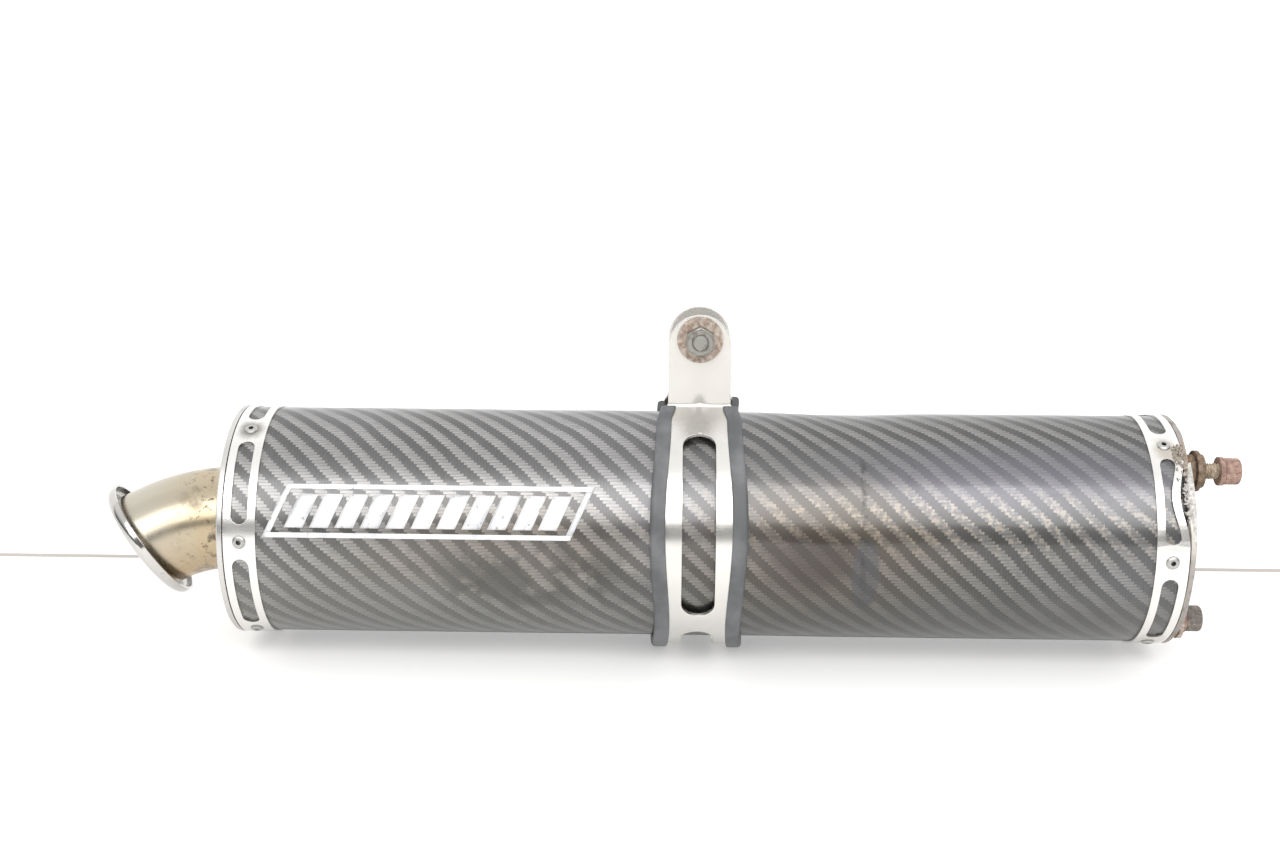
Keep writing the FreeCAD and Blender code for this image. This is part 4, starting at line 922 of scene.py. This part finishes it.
def peeled_rim():
    """A pale strip of the cap's edge, peeled up where the rail was folded away from it."""
    steps, columns, thick = 60, 6, 0.6 * MM
    first_turn, turns = 9, 41
    root_x, root_radius = -4.9 * MM, 57.75 * MM
    narrow, peeled, curl, ragged, uneven = 0.6, 3.4, 0.7 * MM, 0.7 * MM, 0.35 * MM
    points = []
    for step in range(steps + 1):
        share = step / steps
        turn = first_turn + turns * share
        width = (narrow + peeled * math.sin(math.pi * share) ** 0.6) * MM
        for column in range(columns + 1):
            across = column / columns
            rough = noise.noise(Vector((turn * 0.45, across * 2.5, 3.0)))
            radius = root_radius + uneven * rough - curl * across ** 2
            points.append(around(turn, radius, root_x - width * across + ragged * rough * across))
    faces = grid_faces(steps + 1, columns + 1)
    thickened(add_mesh("peeled_rim", points, faces, PALE, "silencer"), thick)


BADGE_LOW, BADGE_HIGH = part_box("badge_foil")


def badge():
    """A plain generic foil: a slanted outline with slanted bars, laid round the sleeve."""
    slant, lift, thick = 0.45, 0.06 * MM, 0.15 * MM
    end_room, column_width, bar_rows = 8 * MM, 2 * MM, 8
    rim, side_rim = 2.4 * MM, 1.3 * 2.4 * MM
    blocks, first_block, block_room, block_share = 11, 8.5 * MM, 14 * MM, 0.74
    centre = (BADGE_LOW + BADGE_HIGH) / 2
    half_length = (BADGE_HIGH.x - BADGE_LOW.x) / 2 - end_room
    half_height = (BADGE_HIGH.z - BADGE_LOW.z) / 2
    middle_turn = math.asin(centre.z / SLEEVE_R) / DEG
    work = bmesh.new()

    def bar(left, right, low, high):
        """A curved, slanted sheet between two distances along the badge and two up it."""
        columns = max(1, int((right - left) / column_width))
        grid = []
        for row in range(bar_rows + 1):
            up = low + (high - low) * row / bar_rows
            turn = middle_turn + up / (SLEEVE_R * DEG)
            grid.append([work.verts.new(around(
                turn, SLEEVE_R + lift, centre.x + left + (right - left) * column / columns + slant * up))
                for column in range(columns + 1)])
        for below, above in zip(grid, grid[1:]):
            for column in range(columns):
                work.faces.new((below[column], below[column + 1], above[column + 1], above[column]))

    bar(-half_length, half_length, half_height - rim, half_height)
    bar(-half_length, half_length, -half_height, -half_height + rim)
    bar(-half_length, -half_length + side_rim, -half_height + rim, half_height - rim)
    bar(half_length - side_rim, half_length, -half_height + rim, half_height - rim)
    pitch = (2 * half_length - block_room) / blocks
    for block in range(blocks):
        left = -half_length + first_block + pitch * block
        bar(left, left + pitch * block_share, -half_height + 2 * rim, half_height - 2 * rim)
    piece = add_piece("plain_badge", finished("plain_badge", work), FOIL, "silencer",
                      ["badge_foil"])
    thickened(piece, thick, 1.0)


# ------------------------------------------------------------------------------------ put together
sleeve()
bent_copy("inlet_band", "knocked_inlet_band", BAND, knocked_band, 1.3 * MM)
bent_copy("inlet_end_cap", "knocked_inlet_cap", CAP, knocked_cap, 4.0 * MM)
clamp_strap()
edge_trim("outlet_rubber_edge", -1, "outlet_edge_trim", 13.0 * MM)
edge_trim("inlet_rubber_edge", 1, "inlet_edge_trim", 6.0 * MM)
socket_screw("threaded_loose_screw", 55.0, head_from=14.35 * MM, thread_from=-10.0 * MM,
             shank_to=-10.65 * MM, material=RUSTY, body="loose_screw",
             replaced=["loose_inlet_screw"])
for label, turn, nodes in (("tight_screw_low", -65.0, ["tight_inlet_screws"]),
                           ("tight_screw_rear", -185.0, [])):
    socket_screw(label, turn, head_from=4.35 * MM, thread_from=-20.0 * MM, shank_to=-20.6 * MM,
                 material=DULL, body="silencer", replaced=nodes)
chips("dent_crust", CRUST, 110, turns=(42.0, 62.0, 54.0), along=(-12.5 * MM, -7.2 * MM),
      radius=(57.9 * MM, 58.4 * MM), sizes=(0.4 * MM, 1.0 * MM), seed=3)
chips("torn_edge", PALE, 60, turns=(16.0, 48.0, 34.0), along=(-10.0 * MM, -6.5 * MM),
      radius=(57.0 * MM, 57.9 * MM), sizes=(0.4 * MM, 1.2 * MM), seed=8, flat=0.3)
peeled_rim()
chips("carbon_shards", SHARD, 40, turns=(14.0, 56.0, 38.0), along=(-13.5 * MM, -8.0 * MM),
      radius=(56.3 * MM, 57.5 * MM), sizes=(0.4 * MM, 1.3 * MM), seed=5, flat=0.25)
badge()


# -------------------------------------------------------------------------------- room and lighting
FLOOR_Z = -63.2 * MM
TABLE_BACK_Y = 0.121
TABLE_EDGE = 2 * MM
TABLE_REACH = 6.0


def room_material(name, colour, speck_share, glow):
    look = Shader(name, colour, 0.0, 0.55, Emission_Color=(1.0, 1.0, 1.0, 1.0), Emission_Strength=glow)
    specks = look.ramp(look.noise(170.0, 4.0, 0.75), 0.68, 0.71)
    look.link(look.tint(colour, specks, speck_share, (0.55, 0.52, 0.47)), "Base Color")
    return look.material


def room():
    """A glowing white table, and a thin, darker strip along its back edge that is painted shade for the
    line where the table meets the backdrop.
    """
    front = [(side * TABLE_REACH, -TABLE_REACH, FLOOR_Z) for side in (-1, 1)]
    back = [(side * TABLE_REACH, TABLE_BACK_Y, FLOOR_Z) for side in (1, -1)]
    edge = [(side * TABLE_REACH, TABLE_BACK_Y, FLOOR_Z + TABLE_EDGE) for side in (1, -1)]
    for name, corners, colour, specks, glow in (
            ("table", front + back, (0.75, 0.747, 0.74), 0.85, 0.30),
            # painted shade: the dark strip stands for the shaded line at the back of the table
            ("shade_line_edge", back[::-1] + edge, (0.40, 0.36, 0.33), 0.0, 0.10)):
        mesh = bpy.data.meshes.new(name)
        mesh.from_pydata(corners, [], [(0, 1, 2, 3)])
        mesh.materials.append(room_material(name, colour, specks, glow))
        sheet = bpy.data.objects.new(name, mesh)
        bpy.context.collection.objects.link(sheet)


def lamp(name, place, aim, width, height, power, colour):
    light = bpy.data.lights.new(name, "AREA")
    light.shape = "RECTANGLE"
    light.size = width
    light.size_y = height
    light.energy = power
    light.color = colour
    holder = bpy.data.objects.new(name, light)
    holder.location = place
    holder.rotation_euler = (Vector(aim) - Vector(place)).to_track_quat("-Z", "Y").to_euler()
    bpy.context.collection.objects.link(holder)


def lighting():
    """One wide lamp, and a world that is bright overhead, behind the silencer and below the horizon."""
    world = bpy.data.worlds.new("studio")
    bpy.context.scene.world = world
    world.use_nodes = True
    tree = world.node_tree
    background = tree.nodes["Background"]
    direction = new_node(tree, "ShaderNodeTexCoord").outputs["Generated"]
    parts = new_node(tree, "ShaderNodeSeparateXYZ", {0: direction}).outputs
    below = new_node(tree, "ShaderNodeMath", {0: parts["Z"], 1: 0.0}, operation="LESS_THAN").outputs[0]
    strength = below
    for axis, start, end, weakest, strongest in (("Z", 0.15, 0.75, 0.22, 1.20),
                                                 ("Y", -0.02, 0.20, 0.0, 1.35)):
        gradient = new_node(tree, "ShaderNodeMapRange", {
            "Value": parts[axis], "From Min": start, "From Max": end, "To Min": weakest,
            "To Max": strongest}, interpolation_type="SMOOTHSTEP").outputs[0]
        strength = new_node(tree, "ShaderNodeMath", {0: strength, 1: gradient},
                            operation="MAXIMUM").outputs[0]
    tree.links.new(strength, background.inputs["Strength"])
    background.inputs["Color"].default_value = (1.0, 1.0, 1.0, 1.0)
    lamp("window", place=(-0.15, -2.72, 2.05), aim=(-0.20, 0.0, 0.0), width=4.8, height=2.4, power=98.0,
         colour=(1.0, 0.995, 0.985))


def camera():
    """A pinhole camera in front of the silencer, a little above it and a little rolled."""
    pitch, yaw, roll = 76.375 * DEG, 1.182 * DEG, 0.34 * DEG
    data = bpy.data.cameras.new("camera")
    data.sensor_width = 36.0
    data.lens = 45.53
    holder = bpy.data.objects.new("camera", data)
    holder.location = (-0.25354, -0.79373, 0.24267)
    aim = Euler((pitch, 0.0, yaw)).to_matrix() @ Matrix.Rotation(roll, 3, "Z")
    holder.rotation_euler = aim.to_euler()
    bpy.context.collection.objects.link(holder)
    bpy.context.scene.camera = holder


room()
lighting()
camera()
view = bpy.context.scene.view_settings
view.view_transform = "Standard"
view.look = "None"
